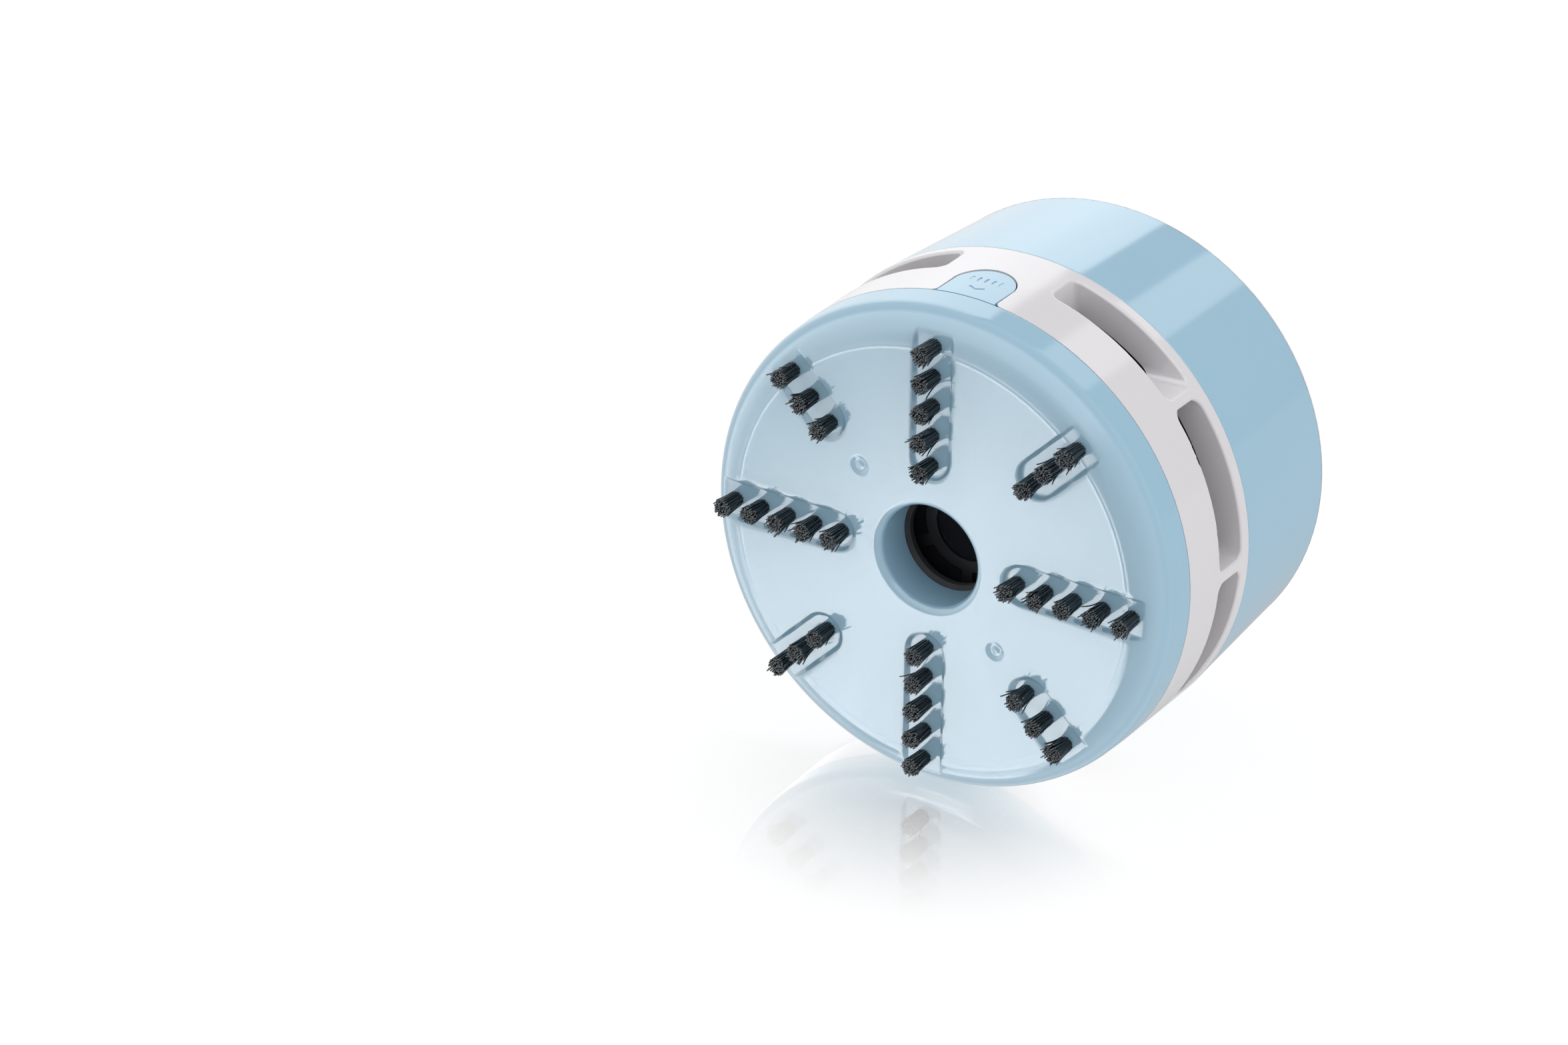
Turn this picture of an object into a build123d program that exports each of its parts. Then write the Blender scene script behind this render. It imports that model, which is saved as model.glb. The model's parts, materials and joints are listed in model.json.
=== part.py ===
from build123d import *
import os
from math import cos, pi, radians, sin

# Desktop mini vacuum cleaner: a round battery vacuum that stands on eight rows of bristles.
# Millimetres, +Z up, origin on the table under the centre, +Y towards the push tab.
# From the table upwards: bristles, blue base cover with the suction mouth, filter, white vent
# band with the fan, motor on its plate, battery tray inside the blue shell, white top cap.

# ---- outer form ------------------------------------------------------------------------------
tuft_length = 4.7           # bristles stand this far out of the groove floors
groove_depth = 0.67         # grooves are sunk this deep in the flat face
cover_height = 9.52         # flat face to the seam under the white band
band_height = 18.95         # white band, seam to seam
shell_height = 28.8         # blue upper shell
cap_rise = 0.7              # white top cap stands above the shell
waist_radius = 42.5         # band and shell where they meet, the widest place
band_taper = 0.3            # the band is this much slimmer at its lower seam
cover_taper = 0.45          # and the cover's wall again, extended down to the flat face
shell_taper = 1.45          # the shell narrows by this much up to its top edge
cover_edge_radius = 5.4     # large rounding between flat face and cover wall

# ---- suction mouth and cover -----------------------------------------------------------------
mouth_radius = 8.8
mouth_rim_rounding = 1.3
mouth_tube_wall = 1.6
mouth_tube_height = 5.3     # inner height of the tube above the dust chamber's floor
cover_plate = 1.7           # floor of the dust chamber, over the grooves
cover_rim_wall = 1.6        # rim that stands inside the band
cover_rim_height = 2.75
chamber_rounding = 4.0
inlet_lip = 0.6             # soft inlet ring: reaches inside the tube
inlet_wall = 0.9
inlet_rise = 1.6            # above the tube
inlet_skirt = 1.5           # down round the tube
dimple_radius = 1.65
dimple_depth = 0.3
dimple_place = 18.3         # dimples lie this far from the axis
dimple_angles = (45.0, 225.0)
nub_radius = 0.4
nub_height = 0.2

# ---- brush rows ------------------------------------------------------------------------------
row_count = 8
long_row_tufts = 5
short_row_tufts = 3
tuft_edge_gap = 4.95        # outermost tuft, in from the cover's foot
tuft_mouth_gap = 7.56       # innermost tuft of a long row, out from the mouth's wall
tuft_radius = 1.15
plug_radius = 1.25          # each tuft's root plug, pressed in a blind hole
plug_depth = 0.8
strands_per_tuft = 12
inner_strands = 4           # strands of the tuft's inner ring, the rest form the outer one
inner_ring_share = 0.42     # inner ring's radius as a share of the outer one
strand_sides = 3
strand_radius = 0.2
strand_tip_radius = 0.16
splay = 1.38                # tips stand this much wider than the roots
trim_depth = 0.5            # bristle ends are cut flat this far from their full length
groove_width = 6.3          # at the groove's floor
groove_wall_slope = 35.0    # degrees from upright
groove_end_gap = 2.24       # inner end of a groove, from its last tuft's centre

# ---- push tab --------------------------------------------------------------------------------
tab_width = 10.4
tab_height = 10.65
tab_straight = 6.15         # straight part of its sides, below the arch
tab_wall = 1.4
tab_gap = 0.25              # slit between tab and band
tab_flare = 1.0             # rounded lower corners of the band's cut-out
tongue_width = 5.6
tongue_wall = 0.95
tongue_rise = 2.3           # catch tongue above the arch
lip_rise = 0.9              # catch lip's height
lip_reach = 0.1
tab_root_gap = 0.05
tongue_root = 3.0           # tongue starts this far below the arch
tongue_swing = 1.55         # room behind the tongue, in the tab's pocket
pocket_back_wall = 1.0      # between that pocket and the fan chamber
pocket_side_gap = 0.5
pocket_top_gap = 0.5
mark_depth = 0.15           # marks pressed in the tab: an arrowhead under a row of bars
arrow_height = 3.3
arrow_reach = 1.3
arrow_stroke = 1.75
arrow_slope = 32.0          # degrees
bars_height = 6.7
bar_count = 5
bar_spacing = 1.3
bar_length = 1.5
bar_width = 0.42

# ---- filter ----------------------------------------------------------------------------------
gasket_height = 0.5
gasket_gap = 0.05
frame_height = 2.2
frame_wall = 3.1
spoke_width = 2.0
spoke_height = 0.6
spoke_count = 6
frame_hub_radius = 8.0      # small ring where the spokes meet
filter_gap = 0.1
filter_thickness = 1.4

# ---- vent band -------------------------------------------------------------------------------
fit_gap = 0.1               # rim and filter frame in the band's socket
band_skin = 1.9             # band's wall round the socket
housing_floor = 1.5         # fan housing's disc, pressed against a step inside the band
eye_radius = 12.0           # opening in the disc that feeds the fan
grid_bar = 1.6
grid_ring_radius = 6.6
plate_recess = 1.5          # the motor plate lies in the band's top, this deep
recess_wall = 1.9
slot_bottom = 9.75          # above the seam
slot_top_wall = 2.1         # below the band's upper seam
slot_rounding = 1.5
slot_mouth_rounding = 0.5
front_slot_start = 13.35    # degrees from the front, at the waist, to the front slot's near end
slot_web_angle = 48.5       # degrees from the front to its far end
slot_web = 1.75             # web between the front slot and the side slot
side_rib = 2.15             # rib between two side slots

# ---- fan and motor ---------------------------------------------------------------------------
fan_rim_gap = 1.2           # fan's rim to the case screws' posts
fan_floor_gap = 1.0         # blades over the housing's disc
fan_top_gap = 1.0           # fan under the motor plate's boss
blade_wall = 1.1
blade_count = 9
blade_start = 10.5
blade_lean = 24.0
fan_disc = 1.3
hub_radius = 4.0
hub_rise = 0.5              # hub ends this far above the blades' lower edge
shaft_radius = 1.0
shaft_fit = 0.03            # shaft in its bearings
shaft_end_gap = 0.6         # shaft's end under the motor's top
plate_wall = 1.5
plate_boss_radius = 16.0
plate_boss_drop = 0.6
motor_seat_wall = 1.5
motor_radius = 12.2
motor_tray_gap = 0.3        # motor under the battery tray
can_wall = 0.9
motor_boss_radius = 3.0
motor_boss_height = 1.2
end_cap_height = 1.1
end_cap_plug = 0.6          # the end cap reaches this far into the can
end_cap_inset = 0.1         # and its rim lies this far inside the can's
bearing_cover = 0.4
socket_fit = 0.15           # motor in the plate's ring
socket_wall = 1.5
socket_rise = 5.5
rotor_radius = 7.4
rotor_low_gap = 1.2         # rotor over the can's floor
rotor_high_gap = 2.5        # and under the end cap
rotor_slot_count = 3
rotor_slot = 2.2
rotor_slot_depth = 3.4
air_gap = 0.8               # rotor to magnets
magnet_span = 130.0
magnet_end_gap = 1.0
terminal_width = 2.0
terminal_wall = 0.4
terminal_reach = 2.8
terminal_place = 3.0        # half the distance between the two terminals
terminal_start = 6.0        # their inner ends, from the axis
motor_screw_count = 2
motor_screw_place = 7.5
motor_screw_radius = 0.85
motor_screw_head = 1.7
motor_screw_head_height = 0.9

# ---- case screws -----------------------------------------------------------------------------
case_screw_count = 4
case_screw_angle = 45.0
case_screw_inset = 3.3      # screws stand this far inside the fan chamber's wall
case_screw_radius = 1.1
case_screw_head = 2.1
case_screw_head_height = 1.4
case_screw_grip = 7.0       # thread inside the shell's posts
thread_tail = 0.5           # their holes run on past the screws' ends
screw_hole_gap = 0.1
post_radius = 2.8
head_recess = 2.0
shell_post_height = 9.5
post_web = 2.4
web_gap = 0.3               # webs over the motor plate's locating rim
web_bite = 0.6              # webs reach this far into the shell's wall
drive_length = 1.2          # a screw's cross slot, in head radii
drive_width = 0.28
drive_depth = 0.5           # and in head heights

# ---- upper shell and top cap -----------------------------------------------------------------
shell_wall = 1.8
shell_bevel = 0.3
locating_rim_height = 1.5
locating_rim_wall = 1.4
locating_gap = 0.2
cap_plate = 1.6
cap_skirt = 3.4
cap_skirt_wall = 1.5
cap_rounding = 0.6
cap_gap = 0.15              # cap's spigot inside the shell

# ---- batteries -------------------------------------------------------------------------------
cell_radius = 7.25
cell_length = 49.5          # without the nub
cell_nub_radius = 2.75
cell_nub_height = 1.0
cell_edge = 0.5
cell_gap = 0.7              # between the two cells
cell_side_gap = 0.15
tray_corner_gap = 0.3       # tray's outer corners to the cap's skirt
tray_wall = 1.5
tray_rounding = 1.5
tray_floor = 1.0
cell_floor_gap = 0.15
cell_lid_gap = 0.25
spring_height = 3.8         # pressed down by the cell
spring_base_radius = 3.4
spring_tip_radius = 2.0
spring_wire = 0.6
contact_wall = 0.4
contact_width = 9.0
contact_height = 10.0
tail_width = 2.0
tail_gap = 0.1
tail_drop = 2.0             # solder tails reach below the tray's floor
door_ledge = 1.0            # tray walls carry the door by this width
door_gap = 0.2
door_rounding = 2.5
grip_length = 9.0           # thumb hollow in the door
grip_width = 15.0
grip_rounding = 2.0
grip_depth = 0.6
grip_ridge = 0.5
grip_ridge_width = 0.7
grip_ridge_count = 4
grip_ridge_spacing = 1.6
tray_ear_radius = 2.6
tray_ear_height = 2.0
tray_ear_drop = 5.4         # underside of the cap down to the ears
tray_ear_place = 18.0
tray_ear_reach = 3.4
tray_screw_radius = 1.0
tray_screw_head = 1.8
tray_screw_head_height = 1.2
tray_screw_grip = 4.0

# ---- switch ----------------------------------------------------------------------------------
switch_travel = 3.5         # knob slides this far
dish_length = 25.0
dish_width = 12.5
dish_depth = 1.3
pan_wall = 1.5
knob_length = 8.5
knob_width = 6.6
knob_rounding = 1.2
knob_drop = 0.1             # knob stays below the cap's top
knob_float = 0.1
knob_ridge_count = 4
knob_ridge_spacing = 1.5
knob_groove = 0.35
stem_length = 3.4
stem_width = 3.0
stem_gap = 0.3
stem_height = 2.4
lever_size = 1.8
lever_gap = 0.05
lever_drop = 1.6            # lever reaches this far into the switch body
lever_grip = 1.6            # and this far into the knob's stem
lever_side_gap = 0.2        # lever in the switch body's slot
lever_end_gap = 0.3
switch_body_length = 13.0
switch_body_width = 6.4
switch_body_height = 5.2
switch_boss_height = 2.4
switch_boss_radius = 2.0
switch_screw_place = 9.2
switch_ear_length = 22.4
switch_ear_width = 5.4
switch_ear_wall = 1.0
switch_screw_radius = 0.8
switch_screw_head = 1.5
switch_screw_head_height = 0.8
switch_screw_grip = 3.0
pin_wall = 0.4
pin_width = 1.5
pin_length = 2.6
pin_spacing = 3.5
pin_count = 3

# ---- leads -----------------------------------------------------------------------------------
lead_radius = 0.6
lead_gap = 0.05
lead_exit = 3.5             # straight run where a lead leaves its terminal
lead_dip = 1.45             # leads sink this far below their straight runs
lead_sweep = 5.0            # and swing this far aside on their way
bend_share = 0.45           # of the shorter run that a bend takes up
cut_margin = 2.0            # cutting shapes reach this far past a wall

# ---- heights that follow ---------------------------------------------------------------------
z_root = tuft_length
z_face = z_root - groove_depth
z_seam = z_face + cover_height
z_waist = z_seam + band_height
z_crown = z_waist + shell_height
z_top = z_crown + cap_rise
z_dust_floor = z_root + cover_plate
z_tube_top = z_dust_floor + mouth_tube_height
z_rim_top = z_seam + cover_rim_height
z_gasket = z_rim_top + gasket_gap
z_frame = z_gasket + gasket_height + gasket_gap
z_housing = z_frame + frame_height + fit_gap
z_chamber = z_housing + housing_floor
z_plate = z_waist - plate_recess
z_plate_boss = z_plate - plate_boss_drop
z_fan = z_chamber + fan_floor_gap
z_hub = z_fan + hub_rise
z_fan_top = z_plate_boss - fan_top_gap
z_fan_disc = z_fan_top - fan_disc
z_motor = z_plate_boss + motor_seat_wall
z_cap_under = z_top - cap_plate
z_cell_top = z_cap_under - cell_lid_gap
z_cell_axis = z_cell_top - cell_radius
z_tray_floor_top = z_cell_axis - cell_radius - cell_floor_gap
z_tray = z_tray_floor_top - tray_floor
z_motor_top = z_tray - motor_tray_gap
z_end_cap = z_motor_top - end_cap_height
z_dish = z_top - dish_depth
z_pan = z_dish - pan_wall
z_switch = z_pan - switch_boss_height

# ---- radii and lengths that follow -----------------------------------------------------------
seam_radius = waist_radius - band_taper
cover_foot_radius = seam_radius - cover_taper
crown_radius = waist_radius - shell_taper
socket_radius = seam_radius - band_skin
rim_outer = socket_radius - fit_gap
rim_inner = rim_outer - cover_rim_wall
tube_outer = mouth_radius + mouth_tube_wall
outer_tuft_place = cover_foot_radius - tuft_edge_gap
inner_tuft_place = mouth_radius + tuft_mouth_gap
tuft_spacing = (outer_tuft_place - inner_tuft_place) / (long_row_tufts - 1)
tab_outer = seam_radius
tab_inner = tab_outer - tab_wall
pocket_outer = tab_inner + lip_reach + fit_gap
pocket_inner = tab_inner - tongue_wall - tongue_swing
chamber_radius = pocket_inner - pocket_back_wall
case_screw_place = chamber_radius - case_screw_inset
fan_radius = case_screw_place - post_radius - fan_rim_gap
slot_height = band_height - slot_bottom - slot_top_wall
slot_near_x = waist_radius * sin(radians(front_slot_start))
web_front_y = waist_radius * cos(radians(slot_web_angle))
recess_radius = waist_radius - recess_wall
plate_radius = recess_radius - fit_gap
shell_inner_waist = waist_radius - shell_wall
shell_inner_crown = crown_radius - shell_wall
cell_spacing = 2 * cell_radius + cell_gap
bay_length = cell_length + cell_nub_height + spring_height + 2 * contact_wall
bay_width = cell_spacing + 2 * cell_radius + 2 * cell_side_gap
tray_length = bay_length + 2 * tray_wall
tray_width = bay_width + 2 * tray_wall
opening_length = bay_length + 2 * door_ledge
opening_width = bay_width + 2 * door_ledge
cap_spigot = shell_inner_crown - cap_gap
skirt_inner = cap_spigot - cap_skirt_wall

# The tray stands as far back as its corners allow, and the switch in the middle of what is left.
tray_corner_reach = skirt_inner - tray_corner_gap
tray_centre_y = tray_width / 2 - (tray_corner_reach**2 - (tray_length / 2) ** 2) ** 0.5
switch_y = (tray_centre_y + tray_width / 2 + skirt_inner) / 2

os.makedirs("parts", exist_ok=True)


def save(name, label):
    """Name a finished piece and write it to its own file."""
    name.part.label = label
    export_step(name.part, "parts/" + label + ".step")


def turn(points, mode=Mode.ADD):
    """Turn a closed outline of (radius, height) points about the vertical axis."""
    with BuildSketch(Plane.XZ) as outline:
        with BuildLine():
            Polyline(*points, close=True)
        make_face()
    revolve(outline.sketch, axis=Axis.Z, mode=mode)


def ring(inner, outer, bottom, top, mode=Mode.ADD):
    """A flat ring, or a disc where the inner radius is zero."""
    turn([(inner, bottom), (outer, bottom), (outer, top), (inner, top)], mode)


def corner(sketch, radius, height):
    """The corner of a drawn section nearest to a place."""
    return sketch.vertices().sort_by_distance((radius, height))[0]


def shell_inner(height):
    """Inner radius of the upper shell at a height."""
    share = (height - z_waist) / shell_height
    return shell_inner_waist + share * (shell_inner_crown - shell_inner_waist)


def row_tufts(row):
    """How many tufts a brush row has: long and short rows take turns."""
    return long_row_tufts if row % 2 == 0 else short_row_tufts


def row_angle(row):
    """Direction of a brush row, in degrees."""
    return 360.0 / row_count * row


def tuft_place(tuft):
    """How far a tuft stands from the axis, counted from the outermost inwards."""
    return outer_tuft_place - tuft_spacing * tuft


# ==== base cover ==============================================================================
with BuildPart() as base_cover:
    with BuildSketch(Plane.XZ) as section:
        with BuildLine():
            Polyline(
                (mouth_radius, z_face),
                (cover_foot_radius, z_face),
                (seam_radius, z_seam),
                (rim_outer, z_seam),
                (rim_outer, z_rim_top),
                (rim_inner, z_rim_top),
                (rim_inner, z_dust_floor),
                (tube_outer, z_dust_floor),
                (tube_outer, z_tube_top),
                (mouth_radius, z_tube_top),
                close=True,
            )
        make_face()
        fillet(corner(section, mouth_radius, z_face), mouth_rim_rounding)
        fillet(corner(section, cover_foot_radius, z_face), cover_edge_radius)
        fillet(corner(section, rim_inner, z_dust_floor), chamber_rounding)
    revolve(axis=Axis.Z)

    # Sunk grooves, round at their inner end, running out through the rounded edge.
    for row in range(row_count):
        last_tuft = tuft_place(row_tufts(row) - 1)
        groove_start = last_tuft - groove_end_gap + groove_width / 2
        groove_run = seam_radius + groove_width - groove_start
        with BuildSketch(Plane.XY.offset(z_root)) as groove:
            with PolarLocations(groove_start + groove_run / 2, 1, row_angle(row)):
                SlotCenterToCenter(groove_run, groove_width)
        extrude(groove.sketch, amount=-2 * groove_depth, taper=-groove_wall_slope, mode=Mode.SUBTRACT)

    # Blind holes for the tufts' root plugs.
    for row in range(row_count):
        for tuft in range(row_tufts(row)):
            with BuildSketch(Plane.XY.offset(z_root)) as hole:
                with PolarLocations(tuft_place(tuft), 1, row_angle(row)):
                    Circle(plug_radius)
            extrude(hole.sketch, amount=plug_depth, mode=Mode.SUBTRACT)

    # Two shallow dimples, each with a nub at its centre.
    for angle in dimple_angles:
        with BuildSketch(Plane.XY.offset(z_face)) as dimple:
            with PolarLocations(dimple_place, 1, angle):
                Circle(dimple_radius)
        extrude(dimple.sketch, amount=dimple_depth, mode=Mode.SUBTRACT)
        with BuildSketch(Plane.XY.offset(z_face + dimple_depth)) as nub:
            with PolarLocations(dimple_place, 1, angle):
                Circle(nub_radius)
        extrude(nub.sketch, amount=-nub_height)

save(base_cover, "base_cover")


# ==== brush rows ==============================================================================
def strand(root, tip):
    """One bristle from its root down past the trim line, as a slim tapering prism."""
    root_face = Plane((root[0], root[1], z_root)) * RegularPolygon(strand_radius, strand_sides)
    tip_face = Plane((tip[0], tip[1], -trim_depth)) * RegularPolygon(strand_tip_radius, strand_sides)
    return loft([root_face, tip_face], mode=Mode.PRIVATE)


def tuft_strands(centre_x, centre_y, seed):
    """A tuft's bristles: two rings that open out towards the tips, a little unevenly."""
    strands = []
    for index in range(strands_per_tuft):
        inside = index < inner_strands
        count = inner_strands if inside else strands_per_tuft - inner_strands
        reach = (tuft_radius - strand_radius) * (inner_ring_share if inside else 1.0)
        angle = 2 * pi * index / count + 0.3 * seed
        wander = 0.06 * sin(5.1 * index + 2.3 * seed)
        tip_reach = reach * splay + wander
        tip_angle = angle + 0.05 * sin(3.7 * index + 1.9 * seed)
        root = (centre_x + reach * cos(angle), centre_y + reach * sin(angle))
        tip = (centre_x + tip_reach * cos(tip_angle), centre_y + tip_reach * sin(tip_angle))
        strands.append(strand(root, tip))
    return strands


for row in range(row_count):
    direction = radians(row_angle(row))
    strands = []
    for tuft in range(row_tufts(row)):
        place = tuft_place(tuft)
        strands += tuft_strands(place * cos(direction), place * sin(direction), row * 7 + tuft)
    with BuildPart() as brush_row:
        with BuildSketch(Plane.XY.offset(z_root)) as plugs:
            for tuft in range(row_tufts(row)):
                with PolarLocations(tuft_place(tuft), 1, row_angle(row)):
                    Circle(plug_radius)
        extrude(plugs.sketch, amount=plug_depth)
        add(strands)
        split(bisect_by=Plane.XY, keep=Keep.TOP)
    save(brush_row, "brush_row_" + str(row + 1))

# ==== push tab ================================================================================
z_tab = z_seam + tab_root_gap
z_tab_top = z_seam + tab_height
z_tongue_top = z_tab_top + tongue_rise


def tab_outline(width, bottom, height):
    """Front view of the tab: straight sides under a rounded arch, drawn in front of the band."""
    half = width / 2
    z_spring = z_seam + tab_straight
    with BuildSketch(Plane.XZ.offset(-waist_radius - cut_margin)) as outline:
        with BuildLine():
            Line((-half, bottom), (half, bottom))
            Line((half, bottom), (half, z_spring))
            ThreePointArc((half, z_spring), (0, z_seam + height), (-half, z_spring))
            Line((-half, z_spring), (-half, bottom))
        make_face()
    return outline.sketch


def tongue_span(inner, outer, width, bottom, height, mode=Mode.ADD):
    """A piece of a ring behind the tab, as wide as the tongue or its pocket."""
    with BuildSketch(Plane.XY.offset(bottom)) as span:
        Circle(outer)
        Circle(inner, mode=Mode.SUBTRACT)
        with Locations((0, outer)):
            Rectangle(width, outer, mode=Mode.INTERSECT)
    extrude(span.sketch, amount=height, mode=mode)


def tab_pocket(width, bottom, top):
    """Room where the tab or its catch tongue stands, swings and slides out past the filter."""
    tongue_span(pocket_inner, pocket_outer, width, bottom, top - bottom, mode=Mode.SUBTRACT)


with BuildPart() as push_tab:
    extrude(tab_outline(tab_width, z_tab, tab_height), amount=waist_radius / 2)
    ring(tab_inner, tab_outer, z_tab, z_tab_top, mode=Mode.INTERSECT)
    # Catch tongue behind the band's skin, with a small lip at its top.
    tongue_base = z_tab_top - tongue_root
    tongue_inner = tab_inner - tongue_wall
    tongue_span(tongue_inner, tab_inner, tongue_width, tongue_base, z_tongue_top - tongue_base)
    tongue_span(tongue_inner, tab_inner + lip_reach, tongue_width, z_tongue_top - lip_rise, lip_rise)
    # Pressed-in marks: an arrowhead that points to the opening edge, and a row of bars above it.
    with BuildSketch(Plane.XZ.offset(mark_depth - tab_outer)) as marks:
        for side in (-1, 1):
            with Locations((side * arrow_reach / 2, z_seam + arrow_height)):
                SlotOverall(arrow_stroke, bar_width, rotation=side * arrow_slope)
        with Locations((0, z_seam + bars_height)):
            with GridLocations(bar_spacing, 1, bar_count, 1):
                SlotOverall(bar_length, bar_width, rotation=90)
    extrude(marks.sketch, amount=-tab_wall, mode=Mode.SUBTRACT)

save(push_tab, "push_tab")

# ==== inlet ring ==============================================================================
with BuildPart() as inlet_ring:
    turn([
        (mouth_radius - inlet_lip, z_tube_top + inlet_lip),
        (mouth_radius, z_tube_top),
        (tube_outer, z_tube_top),
        (tube_outer, z_tube_top - inlet_skirt),
        (tube_outer + inlet_wall, z_tube_top - inlet_skirt),
        (tube_outer + inlet_wall, z_tube_top + inlet_rise),
        (mouth_radius - inlet_lip, z_tube_top + inlet_rise),
    ])

save(inlet_ring, "inlet_ring")

# ==== filter ==================================================================================
with BuildPart() as filter_gasket:
    ring(rim_inner, rim_outer, z_gasket, z_gasket + gasket_height)

save(filter_gasket, "filter_gasket")

filter_radius = rim_outer - frame_wall
with BuildPart() as filter_frame:
    ring(filter_radius, rim_outer, z_frame, z_frame + frame_height)
    with BuildSketch(Plane.XY.offset(z_frame)) as bars:
        with PolarLocations((filter_radius + frame_wall / 2) / 2, spoke_count, 180.0 / spoke_count):
            Rectangle(filter_radius + frame_wall / 2, spoke_width)
        Circle(frame_hub_radius)
        Circle(frame_hub_radius - spoke_width, mode=Mode.SUBTRACT)
    extrude(bars.sketch, amount=spoke_height)
    tab_pocket(tab_width + 2 * tab_gap, z_frame, z_frame + frame_height)

save(filter_frame, "filter_frame")

z_filter = z_frame + spoke_height
with BuildPart() as filter_disc:
    ring(0, filter_radius - filter_gap, z_filter, z_filter + filter_thickness)

save(filter_disc, "filter_disc")

# ==== vent band ===============================================================================
# Four side cores form the slots and pull straight out, two to the front and rear and two to the
# sides. The web between a front slot and a side slot is square to the side cores' pull.
z_slot = z_seam + slot_bottom
with BuildPart() as front_slot:
    with BuildSketch(Plane.XY.offset(z_slot)) as front_core:
        with Locations((slot_near_x, web_front_y)):
            Rectangle(waist_radius, waist_radius, align=(Align.MIN, Align.MIN))
    extrude(front_core.sketch, amount=slot_height)
    near_edges = front_slot.edges().filter_by(Axis.Y).group_by(Axis.X)[0]
    web_edges = front_slot.edges().filter_by(Axis.X).group_by(Axis.Y)[0]
    fillet(near_edges + web_edges, slot_rounding)

with BuildPart() as side_slot:
    with BuildSketch(Plane.XY.offset(z_slot)) as side_core:
        with Locations((chamber_radius / 2, side_rib / 2)):
            core_size = (waist_radius, web_front_y - slot_web - side_rib / 2)
            Rectangle(*core_size, align=(Align.MIN, Align.MIN))
    extrude(side_core.sketch, amount=slot_height)
    fillet(side_slot.edges().filter_by(Axis.X), slot_rounding)

slot_cutters = []
for core in (front_slot.part, side_slot.part):
    mirrored = core.mirror(Plane.YZ)
    slot_cutters += [core, mirrored, core.mirror(Plane.XZ), mirrored.mirror(Plane.XZ)]


def on_skin(edge):
    """True for an edge that runs in the band's outer surface, between its two seams."""
    points = [edge @ share for share in (0.0, 0.5, 1.0)]
    outside = all((point.X**2 + point.Y**2) ** 0.5 > seam_radius + 0.01 for point in points)
    between = all(z_seam + slot_bottom - 0.1 < point.Z < z_waist - 1 for point in points)
    return outside and between


with BuildPart() as vent_band:
    turn([
        (socket_radius, z_seam),
        (seam_radius, z_seam),
        (waist_radius, z_waist),
        (recess_radius, z_waist),
        (recess_radius, z_plate),
        (chamber_radius, z_plate),
        (chamber_radius, z_chamber),
        (socket_radius, z_chamber),
    ])
    add(slot_cutters, mode=Mode.SUBTRACT)
    fillet(vent_band.edges().filter_by(on_skin), slot_mouth_rounding)

    # Cut-out for the push tab, its lower corners rounded off.
    extrude(
        tab_outline(tab_width + 2 * tab_gap, z_seam - cut_margin, tab_height + tab_gap),
        amount=waist_radius + cut_margin - pocket_inner,
        mode=Mode.SUBTRACT,
    )
    flare_edges = vent_band.edges().filter_by(GeomType.LINE).filter_by_position(
        Axis.Z, z_seam - 0.01, z_seam + 0.01
    )
    fillet(flare_edges.filter_by(Axis.Y).filter_by_position(Axis.Y, 0, waist_radius), tab_flare)

    tab_pocket(tongue_width + 2 * pocket_side_gap, z_seam, z_tongue_top + pocket_top_gap)

save(vent_band, "vent_band")

# ==== fan housing =============================================================================
with BuildPart() as fan_housing:
    ring(eye_radius, socket_radius - fit_gap, z_housing, z_chamber)
    with BuildSketch(Plane.XY.offset(z_housing)) as grid:
        with PolarLocations(0, 3):
            Rectangle(2 * eye_radius + grid_bar, grid_bar)
        Circle(grid_ring_radius)
        Circle(grid_ring_radius - grid_bar, mode=Mode.SUBTRACT)
    extrude(grid.sketch, amount=housing_floor)
    # Hollow posts for the case screws, up to the motor plate.
    with BuildSketch(Plane.XY.offset(z_housing)) as posts:
        with PolarLocations(case_screw_place, case_screw_count, case_screw_angle):
            Circle(post_radius)
    extrude(posts.sketch, amount=z_plate - z_housing)
    with BuildSketch(Plane.XY.offset(z_housing)) as post_holes:
        with PolarLocations(case_screw_place, case_screw_count, case_screw_angle):
            Circle(case_screw_radius + screw_hole_gap)
    extrude(post_holes.sketch, amount=z_plate - z_housing, mode=Mode.SUBTRACT)
    with BuildSketch(Plane.XY.offset(z_housing)) as head_recesses:
        with PolarLocations(case_screw_place, case_screw_count, case_screw_angle):
            Circle(case_screw_head + screw_hole_gap)
    extrude(head_recesses.sketch, amount=head_recess, mode=Mode.SUBTRACT)
    tab_pocket(tab_width + 2 * tab_gap, z_housing, z_chamber)

save(fan_housing, "fan_housing")

# ==== fan =====================================================================================
with BuildPart() as fan:
    ring(shaft_radius, fan_radius, z_fan_disc, z_fan_top)
    ring(shaft_radius, hub_radius, z_hub, z_fan_top)
    with BuildSketch(Plane.XY.offset(z_fan)) as blades:
        with PolarLocations((fan_radius + blade_start) / 2, blade_count):
            Rectangle(fan_radius - blade_start, blade_wall, rotation=blade_lean)
        Circle(fan_radius, mode=Mode.INTERSECT)
    extrude(blades.sketch, amount=z_fan_disc - z_fan)

save(fan, "fan")

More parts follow.
